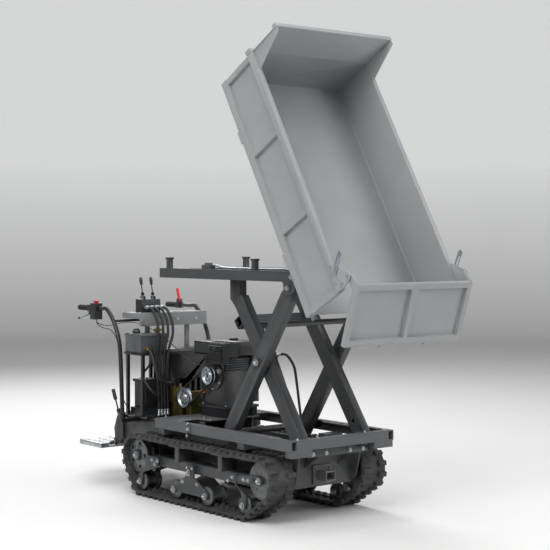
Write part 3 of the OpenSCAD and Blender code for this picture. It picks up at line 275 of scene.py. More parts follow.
PLASTIC = {
    "black_plastic": moulded("abs_black_grained", "#222325", "#38393a", 0.5),
    "battery_plastic": moulded("polypropylene_battery_black", "#1a1b1c", "#2f3031", 0.42),
    "red_plastic": moulded("abs_signal_red", "#c3211a", "#d4463a", 0.28, 3.0, 0.02),
    "orange_plastic": moulded("abs_filler_orange", "#c8571d", "#d9743c", 0.35, 3.0, 0.02),
    "engine_black": moulded("stoved_enamel_engine_black", "#202123", "#37383b", 0.34, 3.5, 0.07),
}
FINISH = {**PAINT, **RUBBER, **METAL, **PLASTIC}
print("all finishes:", len(FINISH))

# %% [markdown]
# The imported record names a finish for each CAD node. Each node's material slots take that finish here,
# and one table lists the few nodes whose real surface differs from their slot's plain class.

# %% Finish every CAD node
SLOT = {row["node"]: row["material_slot"] for row in frame["record"]["subparts"]}
SPECIAL = {"foot_step": "step_zinc", "battery_box": "battery_plastic", "engine_shroud": "engine_black",
           "muffler_guard": "engine_black", "rear_cover": "black_paint"}
BODY = {}
for body, members in frame["record"]["behaviour"]["bodies"].items():
    for member in members:
        BODY[member] = body
for name, node in frame["nodes"].items():
    finish = FINISH[SPECIAL.get(name, SLOT[name])]
    node.data.materials.clear()
    node.data.materials.append(finish)
print("nodes finished:", len(frame["nodes"]))

# %% [markdown]
# The camera and the studio come first, so that every step can be looked at. The photograph was taken
# with a long lens from the front right, at about chest height, 51 degrees round from the side. Its
# lens, place and tilt were worked out from the machine's own corners. The studio is plain: a pale floor
# that rises into a pale backdrop, a large soft lamp above left, a weaker one at the right and a strip
# behind that draws the edges. The backdrop also carries painted light: a glow that only the camera sees,
# growing brighter with height.

# %% Camera
def linked(name, data):
    """A new object of the scene that shows some data."""
    piece = bpy.data.objects.new(name, data)
    bpy.context.scene.collection.objects.link(piece)
    return piece


def studio_camera(place, azimuth, tilt, lens):
    """A camera that looks along an azimuth, with a downward tilt in degrees."""
    data = bpy.data.cameras.new("studio_camera")
    data.lens, data.sensor_width, data.clip_end = lens, 36.0, 100.0
    camera = linked("studio_camera", data)
    camera.location = place
    camera.rotation_euler = (math.radians(90 - tilt), 0, math.radians(azimuth))
    bpy.context.scene.camera = camera
    return camera


CAMERA = studio_camera((SHIFT * MM + 5.92, -5.30, 1.61), 51.0, 1.4, 91.4)
print("camera at", [round(v, 2) for v in CAMERA.location])

# %% Floor, backdrop and lamps
def soft_lamp(name, place, target, size, power):
    """A square area lamp aimed at a point."""
    data = bpy.data.lights.new(name, "AREA")
    data.energy, data.size, data.shape = power, size, "SQUARE"
    lamp = linked(name, data)
    lamp.location = place
    lamp.rotation_euler = (Vector(target) - Vector(place)).to_track_quat("-Z", "Y").to_euler()
    return lamp


def sweep_backdrop(name, code, radius=14.0, sweep=2.2, height=9.0, steps=8):
    """A floor that rises in a curve behind the machine, all round so that every view has it."""
    bpy.ops.object.select_all(action="DESELECT")
    bpy.ops.mesh.primitive_circle_add(vertices=96, radius=radius, fill_type="NGON", location=(0, 0, 0))
    floor = bpy.context.object
    floor.name = floor.data.name = name
    bpy.ops.object.mode_set(mode="EDIT")
    bpy.ops.mesh.select_all(action="SELECT")
    for step in range(steps):
        angle = math.radians(90 * (step + 1) / steps)
        last = math.radians(90 * step / steps)
        grow = sweep * (math.sin(angle) - math.sin(last))
        lift = sweep * (math.cos(last) - math.cos(angle))
        bpy.ops.mesh.select_mode(type="EDGE")
        if step == 0:
            bpy.ops.mesh.region_to_loop()
        bpy.ops.mesh.extrude_edges_move(TRANSFORM_OT_translate={"value": (0, 0, lift)})
        scale = 1 + grow / (radius + sweep * math.sin(last))
        bpy.ops.transform.resize(value=(scale, scale, 1), center_override=(0, 0, 0))
    bpy.ops.mesh.extrude_edges_move(TRANSFORM_OT_translate={"value": (0, 0, height)})
    bpy.ops.object.mode_set(mode="OBJECT")
    bpy.ops.object.shade_smooth()
    material, tree, surface, place = new_material("studio_paper", Roughness=0.9, Specular_IOR_Level=0.2)
    tint = band(tree, grain(tree, place, 900, 2.0), 0.3, 0.7, 0.0, 0.2)
    tree.links.new(blend_colours(tree, tint, linear(code), linear("#dcdcda")), surface.inputs["Base Color"])
    # Painted light: the paper glows, seen only by the camera, from nothing at the floor to full strength 3 m
    # up, so the backdrop looks brighter higher up
    seen = add_node(tree, "ShaderNodeLightPath").outputs["Is Camera Ray"]
    high = band(tree, add_node(tree, "ShaderNodeSeparateXYZ", None, Vector=place).outputs["Z"], 0.0, 3.0)
    painted_glow = add_node(tree, "ShaderNodeMath", {"operation": "MULTIPLY"}, _0=seen, _1=high).outputs[0]
    tree.links.new(band(tree, painted_glow, 0.0, 1.0, 0.0, 0.42), surface.inputs["Emission Strength"])
    surface.inputs["Emission Color"].default_value = linear("#e4e5e6")
    floor.data.materials.append(material)


sweep_backdrop("studio_floor", "#d6d6d5")
soft_lamp("key_lamp", (3.5, -5.5, 6.5), (0, 0, 1.2), 4.5, 520)
soft_lamp("fill_lamp", (7.0, 4.0, 4.5), (0.3, 0, 1.2), 4.0, 260)
soft_lamp("rim_lamp", (-6.0, 2.0, 5.5), (0, 0, 1.2), 4.0, 330)
soft_lamp("top_lamp", (0.0, 0.0, 7.5), (0, 0, 0), 5.0, 240)
world = bpy.data.worlds.new("studio_air")
world.use_nodes = True
bpy.context.scene.world = world
world.node_tree.nodes["Background"].inputs["Color"].default_value = linear("#e6e8ea")
world.node_tree.nodes["Background"].inputs["Strength"].default_value = 0.45
bpy.context.scene.view_settings.view_transform = "Standard"
print("studio lit")

# %% [markdown]
# Folded sheet, cut bars and castings never have knife edges: a folded corner is round, a sawn bar is
# broken with a file and then painted, and that thin round edge is what catches the light. The CAD nodes
# have the right shape but sharp edges. The edge could be faked in the shader, but an exported mesh would
# lose it, so a copy of each node is cleaned, its edges are beveled, and the copy stands for the node.

# %% Helpers to start and finish a piece
def deselect_all():
    """Loading the frame leaves nodes selected, and an operator acts on all that is selected."""
    if bpy.context.mode != "OBJECT":
        bpy.ops.object.mode_set(mode="OBJECT")
    bpy.ops.object.select_all(action="DESELECT")


def make_active(piece):
    deselect_all()
    piece.select_set(True)
    bpy.context.view_layer.objects.active = piece


def joined(pieces):
    """Joins pieces to the first one."""
    make_active(pieces[0])
    for piece in pieces:
        piece.select_set(True)
    if len(pieces) > 1:
        bpy.ops.object.join()
    return pieces[0]


def apply_modifier(piece, kind, **settings):
    """Adds a modifier and applies it at once."""
    make_active(piece)
    modifier = piece.modifiers.new(kind.lower(), kind)
    for key, value in settings.items():
        setattr(modifier, key, value)
    bpy.ops.object.modifier_apply(modifier=modifier.name)


def settle(piece, name, finish, body, smooth=35):
    """Puts a finished piece's place in its mesh, paints it and lets it ride on its body."""
    make_active(piece)
    bpy.ops.object.transform_apply(location=True, rotation=True, scale=True)
    piece.name = piece.data.name = name
    piece.data.materials.clear()
    piece.data.materials.append(FINISH[finish])
    if smooth:
        bpy.ops.object.shade_smooth_by_angle(angle=math.radians(smooth))
    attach(piece, body)
    return piece


def eased_copy(node, width_mm, segments=2):
    """A copy of a CAD node with its edges eased, which stands for the node."""
    source = frame["nodes"][node]
    piece = linked(node + "_dressed", source.data.copy())
    make_active(piece)
    bpy.ops.object.mode_set(mode="EDIT")
    bpy.ops.mesh.select_all(action="SELECT")
    bpy.ops.mesh.remove_doubles(threshold=0.00002)
    bpy.ops.mesh.dissolve_limited(angle_limit=math.radians(0.6), delimit={"NORMAL"})
    bpy.ops.object.mode_set(mode="OBJECT")
    apply_modifier(piece, "BEVEL", width=width_mm * MM, segments=segments, limit_method="ANGLE",
                   angle_limit=math.radians(38), miter_outer="MITER_ARC", use_clamp_overlap=True,
                   harden_normals=False)
    settle(piece, node + "_dressed", "tub_paint", BODY[node], smooth=38)
    piece.data.materials[0] = source.data.materials[0]
    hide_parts(node)
    return piece


EASED = {
    "tub_floor": 1.5, "tub_walls": 1.5, "tub_headboard": 1.5, "gate": 1.8,
    "deck_frame": 1.5, "deck_floor": 1.0, "chassis_tray": 1.2, "tow_hitch": 1.5,
    "track_frame_right": 1.6, "track_frame_left": 1.6, "outer_arms": 2.2, "inner_arms": 2.2,
    "platform_frame": 2.0, "rear_body": 2.0, "rear_cover": 2.5, "foot_step": 0.8, "console": 1.2,
    "control_valve": 1.6, "hydraulic_tank": 2.5, "battery_box": 2.2, "hydraulic_pump": 1.4,
    "switch_box": 1.8, "gate_latch_right": 1.0, "gate_latch_left": 1.0, "muffler_guard": 2.0,
    "air_cleaner": 3.0, "engine_shroud": 4.0, "engine_block": 2.0, "clutch_lever": 1.0,
    "safety_lever": 1.0, "sprocket_right": 1.2, "sprocket_left": 1.2, "idler_right": 1.5,
    "idler_left": 1.5, "lift_barrel": 1.2, "tip_barrel": 1.2, "lift_rod": 0.8, "tip_rod": 0.8,
    "stop_button": 1.5, "gear_lever": 1.2, "lift_lever": 0.8, "tip_lever": 0.8, "brass_valves": 0.8,
}
for side in ("right", "left"):
    for number in range(1, 5):
        EASED[f"roller_{side}_{number}"] = 1.5
DRESSED = {name: eased_copy(name, width) for name, width in EASED.items()}
print("eased copies:", len(DRESSED), "faces:", sum(len(p.data.polygons) for p in DRESSED.values()))

# %% [markdown]
# Bolts hold such a machine together, and they repeat by the dozen. One hexagon bolt with its washer is
# modelled as by hand: a six-sided bar, its top edge cut back to the round chamfer that a real head has,
# a flat washer under it and the thread's end showing. It is then copied to every place, each copy with
# its own mesh, and the copies on one moving body are joined to one piece.

# %% A hexagon bolt and its copies
def hex_bolt(size_mm, thread_mm=0.0):
    """A bolt head with washer, sitting on the origin and pointing up. size_mm is the thread's size."""
    across = size_mm * 0.95 * MM
    deselect_all()
    bpy.ops.mesh.primitive_cylinder_add(vertices=24, radius=across * 1.28, depth=size_mm * 0.18 * MM,
                                        location=(0, 0, size_mm * 0.09 * MM))
    washer = bpy.context.object
    bpy.ops.mesh.primitive_cylinder_add(vertices=6, radius=across, depth=size_mm * 0.62 * MM,
                                        location=(0, 0, size_mm * 0.49 * MM))
    head = bpy.context.object
    bpy.ops.object.mode_set(mode="EDIT")
    mesh = bmesh.from_edit_mesh(head.data)
    for face in mesh.faces:
        face.select = face.normal.z > 0.9
    bpy.ops.mesh.inset(thickness=across * 0.14)
    bpy.ops.transform.translate(value=(0, 0, size_mm * 0.08 * MM))
    bpy.ops.object.mode_set(mode="OBJECT")
    parts = [washer, head]
    if thread_mm:
        bpy.ops.mesh.primitive_cylinder_add(vertices=16, radius=size_mm * 0.48 * MM, depth=thread_mm * MM,
                                            location=(0, 0, (size_mm * 0.8 + thread_mm / 2) * MM))
        stud = bpy.context.object
        bpy.ops.object.mode_set(mode="EDIT")
        mesh = bmesh.from_edit_mesh(stud.data)
        for face in mesh.faces:
            face.select = face.normal.z > 0.9
        bpy.ops.mesh.inset(thickness=size_mm * 0.1 * MM)
        bpy.ops.transform.translate(value=(0, 0, size_mm * 0.1 * MM))
        bpy.ops.object.mode_set(mode="OBJECT")
        parts.append(stud)
    return joined(parts)


def place_copies(name, template, spots, finish, body, carry=Matrix.Identity(4)):
    """Copies a small part to (point, direction) spots in the drawing's mm, and joins the copies."""
    copies = []
    for point, direction in spots:
        copy = linked(name, template.data.copy())
        turn = Vector(direction).to_track_quat("Z", "Y").to_matrix().to_4x4()
        copy.data.transform(carry @ Matrix.Translation(at(*point)) @ turn)
        copies.append(copy)
    return settle(joined(copies), name, finish, body, smooth=30)


def both_sides(spots):
    """Adds each spot's mirror image on the other side of the machine."""
    return [s for (x, y, z), (a, b, c) in spots for s in (((x, y, z), (a, b, c)), ((x, -y, z), (a, -b, c)))]


M8, M10, M12, M16 = hex_bolt(8), hex_bolt(10, 4), hex_bolt(12), hex_bolt(16, 6)
print("bolt templates", [len(b.data.polygons) for b in (M8, M10, M12, M16)])

# %% [markdown]
# A weld bead is a row of frozen ripples, one for each pulse of the torch. A tube along the seam, whose
# radius rises and falls every few millimetres, gives that ripple in real geometry at little cost. It is
# sunk to half its depth in the corner that it fills.

# %% Weld beads
def rod_curve(name, points, depth, resolution, radii=None, closed=False, ends=True):
    """A round rod as a curve through points in metres; radii scale its thickness at each point."""
    curve = bpy.data.curves.new(name, "CURVE")
    curve.dimensions = "3D"
    curve.bevel_depth, curve.bevel_resolution, curve.use_fill_caps = depth, resolution, ends
    spline = curve.splines.new("POLY")
    spline.points.add(len(points) - 1)
    for index, (spot, point) in enumerate(zip(spline.points, points)):
        spot.co = (*point, 1.0)
        if radii:
            spot.radius = radii[index]
    spline.use_cyclic_u = closed
    return linked(name, curve)


def round_tube(name, points, radius, sides=8, closed=False, ends=True):
    """A round tube as a mesh. A radius may be one number or one for each point."""
    radii = radius if hasattr(radius, "__len__") else [radius] * len(points)
    make_active(rod_curve(name, points, 1.0, max(0, sides // 4 - 1), radii, closed, ends))
    bpy.ops.object.convert(target="MESH")
    return bpy.context.object


def weld_beads(name, seams, body, finish, carry=Matrix.Identity(4), thick=2.6, ripple=4.5):
    """Rippled beads along straight seams, each a pair of points in the drawing's mm."""
    beads = []
    for start, end in seams:
        a, b = at(*start), at(*end)
        count = max(4, int((b - a).length / MM / ripple))
        line = [a.lerp(b, i / count) for i in range(count + 1)]
        radii = [thick * MM * (0.55 if i in (0, count) else 0.86 + 0.2 * (i % 2)) for i in range(count + 1)]
        beads.append(round_tube(name, line, radii, sides=8))
    joined(beads).data.transform(carry)
    return settle(beads[0], name, finish, body, smooth=60)


z_floor = FLOOR + 50
inner = TUB_HALF - 30
tub_seams = [((TUB_BACK + 3, s * (inner - 1), z_floor + 1), (TUB_FRONT - 14, s * (inner - 1), z_floor + 1))
             for s in (-1, 1)]
tub_seams += [((TUB_BACK + 1, s * (inner - 1), z_floor + 2), (TUB_BACK + 1, s * (inner - 1), WALL_TOP - 2))
              for s in (-1, 1)]
tub_seams += [((TUB_BACK + 1, -inner + 2, z_floor + 1), (TUB_BACK + 1, inner - 2, z_floor + 1))]
for s in (-1, 1):
    for x in (TUB_BACK + 508, TUB_BACK + 1015):
        tub_seams += [((x - 16 + d, s * (TUB_HALF - 4), WALL_TOP - 44),
                       (x - 16 + d, s * (inner + 5), WALL_TOP - 44)) for d in (4, 34)]
weld_beads("tub_weld_beads", tub_seams, "tub", "tub_paint", TIPPED)
print("tub seams:", len(tub_seams))

# %% [markdown]
# Under the deck, bolts show wherever a wheel, a bracket or a plate is held: on the axles of the track
# rollers, on the rocker, at the idler, on the tow bracket and along the deck.

# %% Bolts of the chassis
TRACK_Y = 350.0
SPROCKET_X, IDLER_X, AXLE_Z, ROLLER_Z = -1510.0, -246.0, 250.0, 90.0
ROLLERS = (SPROCKET_X + 50, SPROCKET_X + 425, SPROCKET_X + 746, IDLER_X - 151)
track_spots = []
for x in ROLLERS:
    track_spots += [((x, TRACK_Y + 75.6, ROLLER_Z), (0, 1, 0)), ((x, TRACK_Y - 75.6, ROLLER_Z), (0, -1, 0))]
track_spots += [((IDLER_X, TRACK_Y + 77.6, AXLE_Z), (0, 1, 0)), ((-925, TRACK_Y + 78.6, 212), (0, 1, 0)),
                ((SPROCKET_X, TRACK_Y + 71.6, AXLE_Z), (0, 1, 0))]
place_copies("track_axle_bolts", M16, both_sides(track_spots), "bolt", "chassis")
plate_spots = [((x, TRACK_Y + 67.6, z), (0, 1, 0)) for x, z in
               [(-1330, 240), (-1300, 216), (-1270, 240), (-500, 240), (-545, 216), (-950, 240),
                (-900, 240), (-1000, 150), (-850, 150), (IDLER_X - 150, 240), (IDLER_X - 110, 240)]]
place_copies("track_plate_bolts", M10, both_sides(plate_spots), "bolt", "chassis")
deck_spots = [((-22, y, 500), (0, 0, 1)) for y in (-330, -180, 180, 330)]
deck_spots += [((-1320, y, 500), (0, 0, 1)) for y in (-320, 320)]
deck_spots += [((x, y, 498), (0, 0, 1)) for x in (-1120, -1050) for y in (-170, 170)]
deck_spots += [((x, y, 572), (0, 0, 1)) for x in (-1300, -1060) for y in (-40, 170)]
deck_spots += [((-47.6, y, 404), (1, 0, 0)) for y in (-190, -90, 90, 190)]
place_copies("deck_bolts", M10, deck_spots, "bolt", "chassis")
print("chassis bolts:", 2 * len(track_spots) + 2 * len(plate_spots) + len(deck_spots))

# %% [markdown]
# The scissor turns on four big pins. Each shows a washer and a locking bolt outside its collar. The
# arms' cross tubes are welded in, and a rippled ring of weld runs round each end.

# %% Scissor pins and ring welds
def ring_weld(name, rings, body, finish, thick=3.0):
    """Rippled rings of weld round tubes that run across the machine: (x, y, z, radius) in mm."""
    beads = []
    for x, y, z, radius in rings:
        count = max(24, int(2 * math.pi * radius / 4.5) // 2 * 2)
        line = [at(x + radius * math.cos(t), y, z + radius * math.sin(t))
                for t in (2 * math.pi * i / count for i in range(count))]
        radii = [thick * MM * (0.88 + 0.2 * (i % 2)) for i in range(count)]
        beads.append(round_tube(name, line, radii, sides=8, closed=True, ends=False))
    return settle(joined(beads), name, finish, body, smooth=60)


MID = ((PIVOT[0] + FOOT[0]) / 2, (470.0 + HEAD[1]) / 2)
tie = (HEAD[0] - 250 * math.cos(LIFT), HEAD[1] - 250 * math.sin(LIFT))
ring_weld("outer_arm_welds", [(FOOT[0], s * 269, FOOT[1], 20) for s in (-1, 1)]
          + [(tie[0], s * 269, tie[1], 17) for s in (-1, 1)], "outer_arms", "lift_paint")
place_copies("scissor_centre_bolts", M16, [((MID[0], s * 332, MID[1]), (0, s, 0)) for s in (-1, 1)],
             "bolt", "inner_arms")
place_copies("platform_pin_bolts", M12, [((HEAD[0], s * 340, HEAD[1]), (0, s, 0)) for s in (-1, 1)]
             + [((HINGE[0], s * 352, HINGE[1]), (0, s, 0)) for s in (-1, 1)],
             "bolt", "platform")
print("scissor dressed")

# %% [markdown]
# Four hydraulic hoses leave the valve, curve down past the oil tank and drop to the chassis. Each is a
# steel-braided rubber hose of 18 mm with a crimped, zinc-plated ferrule and a hexagon nut at its port. A
# hose is a fixed length of something stiff: it leaves its port straight and bends in one easy curve. The
# route repeats the CAD solid's points, and the piece is a curve that keeps its own length.

# %% Hydraulic hoses
def smooth_route(points, steps=6):
    """The same rounding curve as the CAD source uses, through points in mm, as metres."""
    line = []
    for i in range(len(points) - 1):
        a, b = Vector(points[max(i - 1, 0)]), Vector(points[i])
        c, d = Vector(points[i + 1]), Vector(points[min(i + 2, len(points) - 1)])
        for k in range(steps):
            t = k / steps
            spot = 0.5 * (2 * b + (c - a) * t + (2 * a - 5 * b + 4 * c - d) * t ** 2
                          + (3 * b - a - 3 * c + d) * t ** 3)
            line.append(at(*spot))
    line.append(at(*points[-1]))
    return line


def hose(name, points, radius_mm, body, finish="hose_rubber", steps=6):
    """A hose or cable along a route. It stays a curve."""
    line = smooth_route(points, steps)
    piece = rod_curve(name, line, radius_mm * MM, 4)
    piece.data.materials.append(FINISH[finish])
    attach(piece, body)
    return piece


def crimp_fitting(name, spots, body, radius=11.0, length=30.0):
    """Crimped ferrules with their hexagon nuts: a sleeve squeezed in rings, then the nut."""
    deselect_all()
    bpy.ops.mesh.primitive_cylinder_add(vertices=32, radius=radius * MM, depth=length * MM,
                                        location=(0, 0, length / 2 * MM))
    sleeve = bpy.context.object
    bpy.ops.object.mode_set(mode="EDIT")
    bpy.ops.mesh.select_all(action="SELECT")
    for cut in range(1, 12):
        bpy.ops.mesh.select_all(action="SELECT")
        bpy.ops.mesh.bisect(plane_co=(0, 0, length * cut / 12 * MM), plane_no=(0, 0, 1))
    mesh = bmesh.from_edit_mesh(sleeve.data)
    for vertex in mesh.verts:
        level = round(vertex.co.z / (length / 12 * MM))
        squeeze = 0.9 if level % 3 == 2 else 1.0
        squeeze = 0.86 if level in (0, 12) else squeeze
        vertex.co.x *= squeeze
        vertex.co.y *= squeeze
    bmesh.update_edit_mesh(sleeve.data)
    bpy.ops.object.mode_set(mode="OBJECT")
    bpy.ops.mesh.primitive_cylinder_add(vertices=6, radius=radius * 1.22 * MM, depth=12 * MM,
                                        location=(0, 0, (length + 6) * MM))
    nut = bpy.context.object
    apply_modifier(nut, "BEVEL", width=1.4 * MM, segments=2)
    template = joined([sleeve, nut])
    piece = place_copies(name, template, spots, "bolt", body)
    bpy.data.objects.remove(template)
    return piece


GRIP_Z = 1160.0
port_z = GRIP_Z + 12
ferrules = crimp_fitting("valve_hose_ferrules",
                         [((-1736, -172 + i * 38, port_z), (-1, 0, 0)) for i in range(4)], "chassis")
foot_fittings = crimp_fitting("chassis_hose_ferrules",
                              [((-1584, -192 + i * 23, 502), (0, 0, -1)) for i in range(4)], "chassis", 10.5)
for i in range(4):
    y = -172 + i * 38
    piece = hose(f"valve_hose_{i + 1}",
                 [(-1762.8, y, port_z), (-1738, y, port_z), (-1690, y + 2, port_z - 16),
                  (-1634, y, port_z - 80), (-1606, y - 10, 1000), (-1598, -200 + i * 30, 880),
                  (-1592, -196 + i * 24, 700), (-1584, -192 + i * 23, 540), (-1584, -192 + i * 23, 460.3)],
                 9, "chassis")
    if i == 0:
        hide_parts("hose_set")

# %% [markdown]
# The engine is a small single-cylinder petrol engine. Its crankshaft points to the right of the machine
# and carries a grooved pulley; a V-belt runs from there to the hydraulic pump. What the eye finds here is
# a crowd of small real parts: the cover's ring of bolts, the silencer behind its louvres, the spark plug
# and its lead, the carburettor with its lever and spring, and the orange oil filler.

# %% Turned parts
def lathe(name, profile, steps=48):
    """Spins an outline of (radius, height) pairs in mm about the vertical axis to a closed solid."""
    deselect_all()
    mesh = bpy.data.meshes.new(name)
    piece = linked(name, mesh)
    shape = bmesh.new()
    corners = [shape.verts.new((r * MM, 0, z * MM)) for r, z in profile]
    for a, b in zip(corners, corners[1:]):
        shape.edges.new((a, b))
    shape.to_mesh(mesh)
    shape.free()
    make_active(piece)
    bpy.ops.object.mode_set(mode="EDIT")
    bpy.ops.mesh.select_all(action="SELECT")
    bpy.ops.mesh.spin(steps=steps, angle=2 * math.pi, center=(0, 0, 0), axis=(0, 0, 1))
    bpy.ops.mesh.select_all(action="SELECT")
    bpy.ops.mesh.remove_doubles(threshold=0.00002)
    bpy.ops.mesh.normals_make_consistent(inside=False)
    bpy.ops.object.mode_set(mode="OBJECT")
    return piece


def stand(piece, point, direction=(0, 0, 1), carry=Matrix.Identity(4)):
    """Puts a part that was drawn on the origin, pointing up, at its place and direction."""
    turn = Vector(direction).to_track_quat("Z", "Y").to_matrix().to_4x4()
    piece.data.transform(carry @ Matrix.Translation(at(*point)) @ turn)
    return piece


def turned_part(name, profile, steps, point, direction, finish, body="chassis", smooth=35,
                carry=Matrix.Identity(4)):
    """Spins an outline, stands it at its place and finishes it."""
    piece = stand(lathe(name, profile, steps), point, direction, carry)
    return settle(piece, name, finish, body, smooth)


def punched(piece, cutters):
    """Cuts round holes through a part: (x, y, radius, z0, z1) in mm while it stands on the origin."""
    for x, y, radius, low, high in cutters:
        deselect_all()
        bpy.ops.mesh.primitive_cylinder_add(vertices=24, radius=radius * MM, depth=(high - low) * MM,
                                            location=(x * MM, y * MM, (low + high) / 2 * MM))
        tool = bpy.context.object
        apply_modifier(piece, "BOOLEAN", object=tool, operation="DIFFERENCE", solver="EXACT")
        bpy.data.objects.remove(tool)
    return piece


def grooved_pulley(name, rim, node, point, hub):
    """A pressed pulley: a V groove, a dished web with round lightening holes, and a hub."""
    profile = [(0, -10), (rim - 13, -10), (rim - 13, -11), (rim, -14), (rim, -11), (rim - 12, -4),
               (rim - 12, 4), (rim, 11), (rim, 14), (rim - 8, 14), (rim - 10, 9), (rim - 14, 3),
               (hub + 12, 1), (hub + 8, 5), (hub + 6, 13), (hub, 14), (0, 14)]
    piece = lathe(name, profile, 64)
    ring = (rim + hub) / 2
    holes = 6
    punched(piece, [(ring * math.cos(t), ring * math.sin(t), (rim - hub) * 0.17, -20, 20)
                    for t in (2 * math.pi * i / holes for i in range(holes))])
    apply_modifier(piece, "BEVEL", width=0.9 * MM, segments=2, limit_method="ANGLE",
                   angle_limit=math.radians(35))
    stand(piece, point, (0, -1, 0))
    settle(piece, name, "zinc", BODY[node], smooth=35)
    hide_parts(node)
    return piece


grooved_pulley("crank_pulley", 55, "engine_pulley", (CRANK[0], -92, CRANK[1]), 17)
grooved_pulley("pump_drive_pulley", 65, "pump_pulley", (-1440, -92, 600), 14)
place_copies("pulley_nuts", M12, [((CRANK[0], -106.2, CRANK[1]), (0, -1, 0))], "bolt", "engine_pulley")
place_copies("pump_pulley_nut", M12, [((-1440, -106.2, 600), (0, -1, 0))], "bolt", "pump_pulley")
print("pulleys turned")

# %% [markdown]
# The engine's small parts come next: the fan cover's and crankcase cover's bolts stand on their bolt
# circles, so their places are worked out from an angle and a radius.

# %% Engine bolts, fillers and the carburettor
EX, EZ = CRANK[0] - 145.0, 640.0
cover = [((CRANK[0] + 84 * math.cos(t), -58.3, CRANK[1] + 84 * math.sin(t)), (0, -1, 0))
         for t in (math.pi / 6 + 2 * math.pi * i / 6 for i in range(6))]
cowl = [((EX + x, 206.2, z), (0, 1, 0)) for x in (20, 270) for z in (604, 884)]
place_copies("engine_cover_bolts", M8, cover + cowl, "bolt", "chassis")
turned_part("oil_filler_cap", [(0, 0), (15, 0), (15, 5), (12, 7), (12, 18), (10.5, 20), (0, 20)], 24,
            (EX + 30, -50, 640), (0, 0, 1), "orange_plastic")
cap = lathe("fuel_cap", [(0, 0), (27, 0), (28, 2), (28, 14), (25, 17), (12, 18), (10, 16), (0, 16)], 40)
make_active(cap)
bpy.ops.object.mode_set(mode="EDIT")
rim = bmesh.from_edit_mesh(cap.data)
for face in rim.faces:
    centre = face.calc_center_median()
    ninths = int(math.degrees(math.atan2(centre.y, centre.x)) // 9)
    face.select = centre.xy.length > 0.0275 and ninths % 2 == 0
bpy.ops.mesh.inset(thickness=0.0006)
bpy.ops.transform.resize(value=(0.95, 0.95, 1))
bpy.ops.object.mode_set(mode="OBJECT")
stand(cap, (CRANK[0], 110, EZ + 333))
settle(cap, "fuel_cap", "black_plastic", "chassis", smooth=25)


def block(name, low, high, ease, finish, body="chassis", inset=0.0, raised=0.0):
    """A small cast or moulded block between two corners in mm, with eased edges and one raised face."""
    deselect_all()
    a, b = at(*low), at(*high)
    bpy.ops.mesh.primitive_cube_add(size=1, location=(a + b) / 2)
    piece = bpy.context.object
    piece.scale = [abs(v) for v in (b - a)]
    bpy.ops.object.transform_apply(location=False, rotation=False, scale=True)
    if inset:
        bpy.ops.object.mode_set(mode="EDIT")
        mesh = bmesh.from_edit_mesh(piece.data)
        for face in mesh.faces:
            face.select = face.normal.y < -0.9
        bpy.ops.mesh.inset(thickness=inset * MM)
        bpy.ops.transform.translate(value=(0, -raised * MM, 0))
        bpy.ops.object.mode_set(mode="OBJECT")
    apply_modifier(piece, "BEVEL", width=ease * MM, segments=2, limit_method="ANGLE",
                   angle_limit=math.radians(30))
    return settle(piece, name, finish, body, smooth=40)


block("carburettor", (EX + 196, -50, EZ + 152), (EX + 244, -40.5, EZ + 198), 2.0, "engine_alloy",
      inset=8, raised=-2)
turned_part("carburettor_bowl", [(0, -26), (14, -26), (18, -22), (19, 0), (21, 1), (21, 5), (0, 5)], 32,
            (EX + 220, -62, EZ + 158), (0, 0, 1), "engine_alloy")
turned_part("silencer_drum", [(0, 0), (30, 0), (33, 3), (33, 10), (34.5, 11), (34.5, 14), (33, 15), (33, 117),
                              (34.5, 118), (34.5, 121), (33, 122), (33, 129), (30, 132), (0, 132)], 32,
            (EX + 17, -42, EZ + 293), (1, 0, 0), "engine_alloy")
turned_part("spark_plug_boot", [(0, 0), (7, 0), (8, 4), (8, 22), (10, 25), (10, 40), (7, 46), (0, 46)], 24,
            (CRANK[0] + 60, -48, EZ + 190), (0.35, -1, 0.15), "grip_rubber")
print("engine fittings placed")

# %% [markdown]
# A real radiator of cooling fins is thin: cast fins stand 7 to 8 mm apart. The CAD has six thick ones for
# strength; thin fins between them, slightly set back, give the fine shadow lines of the real cylinder.

# %% Cooling fins
def repeated(first, count, step_mm, finish, smooth=30):
    """Copies a finished block along a step in mm and joins the row."""
    row = [first]
    for k in range(1, count):
        row.append(linked(first.name, first.data.copy()))
        row[-1].data.transform(Matrix.Translation(Vector(step_mm) * k * MM))
    return settle(joined(row), first.name, finish, "chassis", smooth)


repeated(block("cylinder_fins", (EX + 26, -37, EZ + 150), (EX + 264, 148, EZ + 152.4), 0.5, "engine_alloy"),
         6, (0, 0, 14), "engine_alloy", smooth=0)
print("fins stacked")

# %% [markdown]
# The driver walks behind and holds two rubber grips. A moulded grip has a flange at the front, rings that
# stop the hand from slipping and a rounded end. It is a turned shape, so its outline is drawn once with a
# loop and spun.

# %% Ribbed grips
def ribbed_grip(side):
    """One grip: flange, rings every 7 mm, and a rounded closed end."""
    radius = 18.6
    outline = [(0, 0), (radius - 5, 0), (radius - 1, 2), (radius, 6)]
    z = 9
    while z < 104:
        outline += [(radius - 1.8, z), (radius - 1.8, z + 2.4), (radius, z + 3.2), (radius, z + 5.6)]
        z += 7
    outline += [(radius - 1, 108), (radius, 112), (radius, 119), (radius - 1, 120), (14.2, 120)]
    piece = lathe(f"ribbed_grip_{side}", outline + [(14.2, 6), (0, 6)], 40)
    y = -360 if side == "right" else 360
    stand(piece, (-2290, y, GRIP_Z), (1, 0, 0))
    settle(piece, f"ribbed_grip_{side}", "grip_rubber", "chassis", smooth=30)
    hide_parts(f"grip_{side}")
    return piece


for side in ("right", "left"):
    ribbed_grip(side)
print("grips moulded")

# %% [markdown]
# The two valve levers come up through rubber boots that keep dust off the spools. A boot is a bellows:
# folds that shrink towards the top. Each moves with its own lever, so it rides on that lever's body and
# its foot stays wide enough to cover the slot as the lever leans.

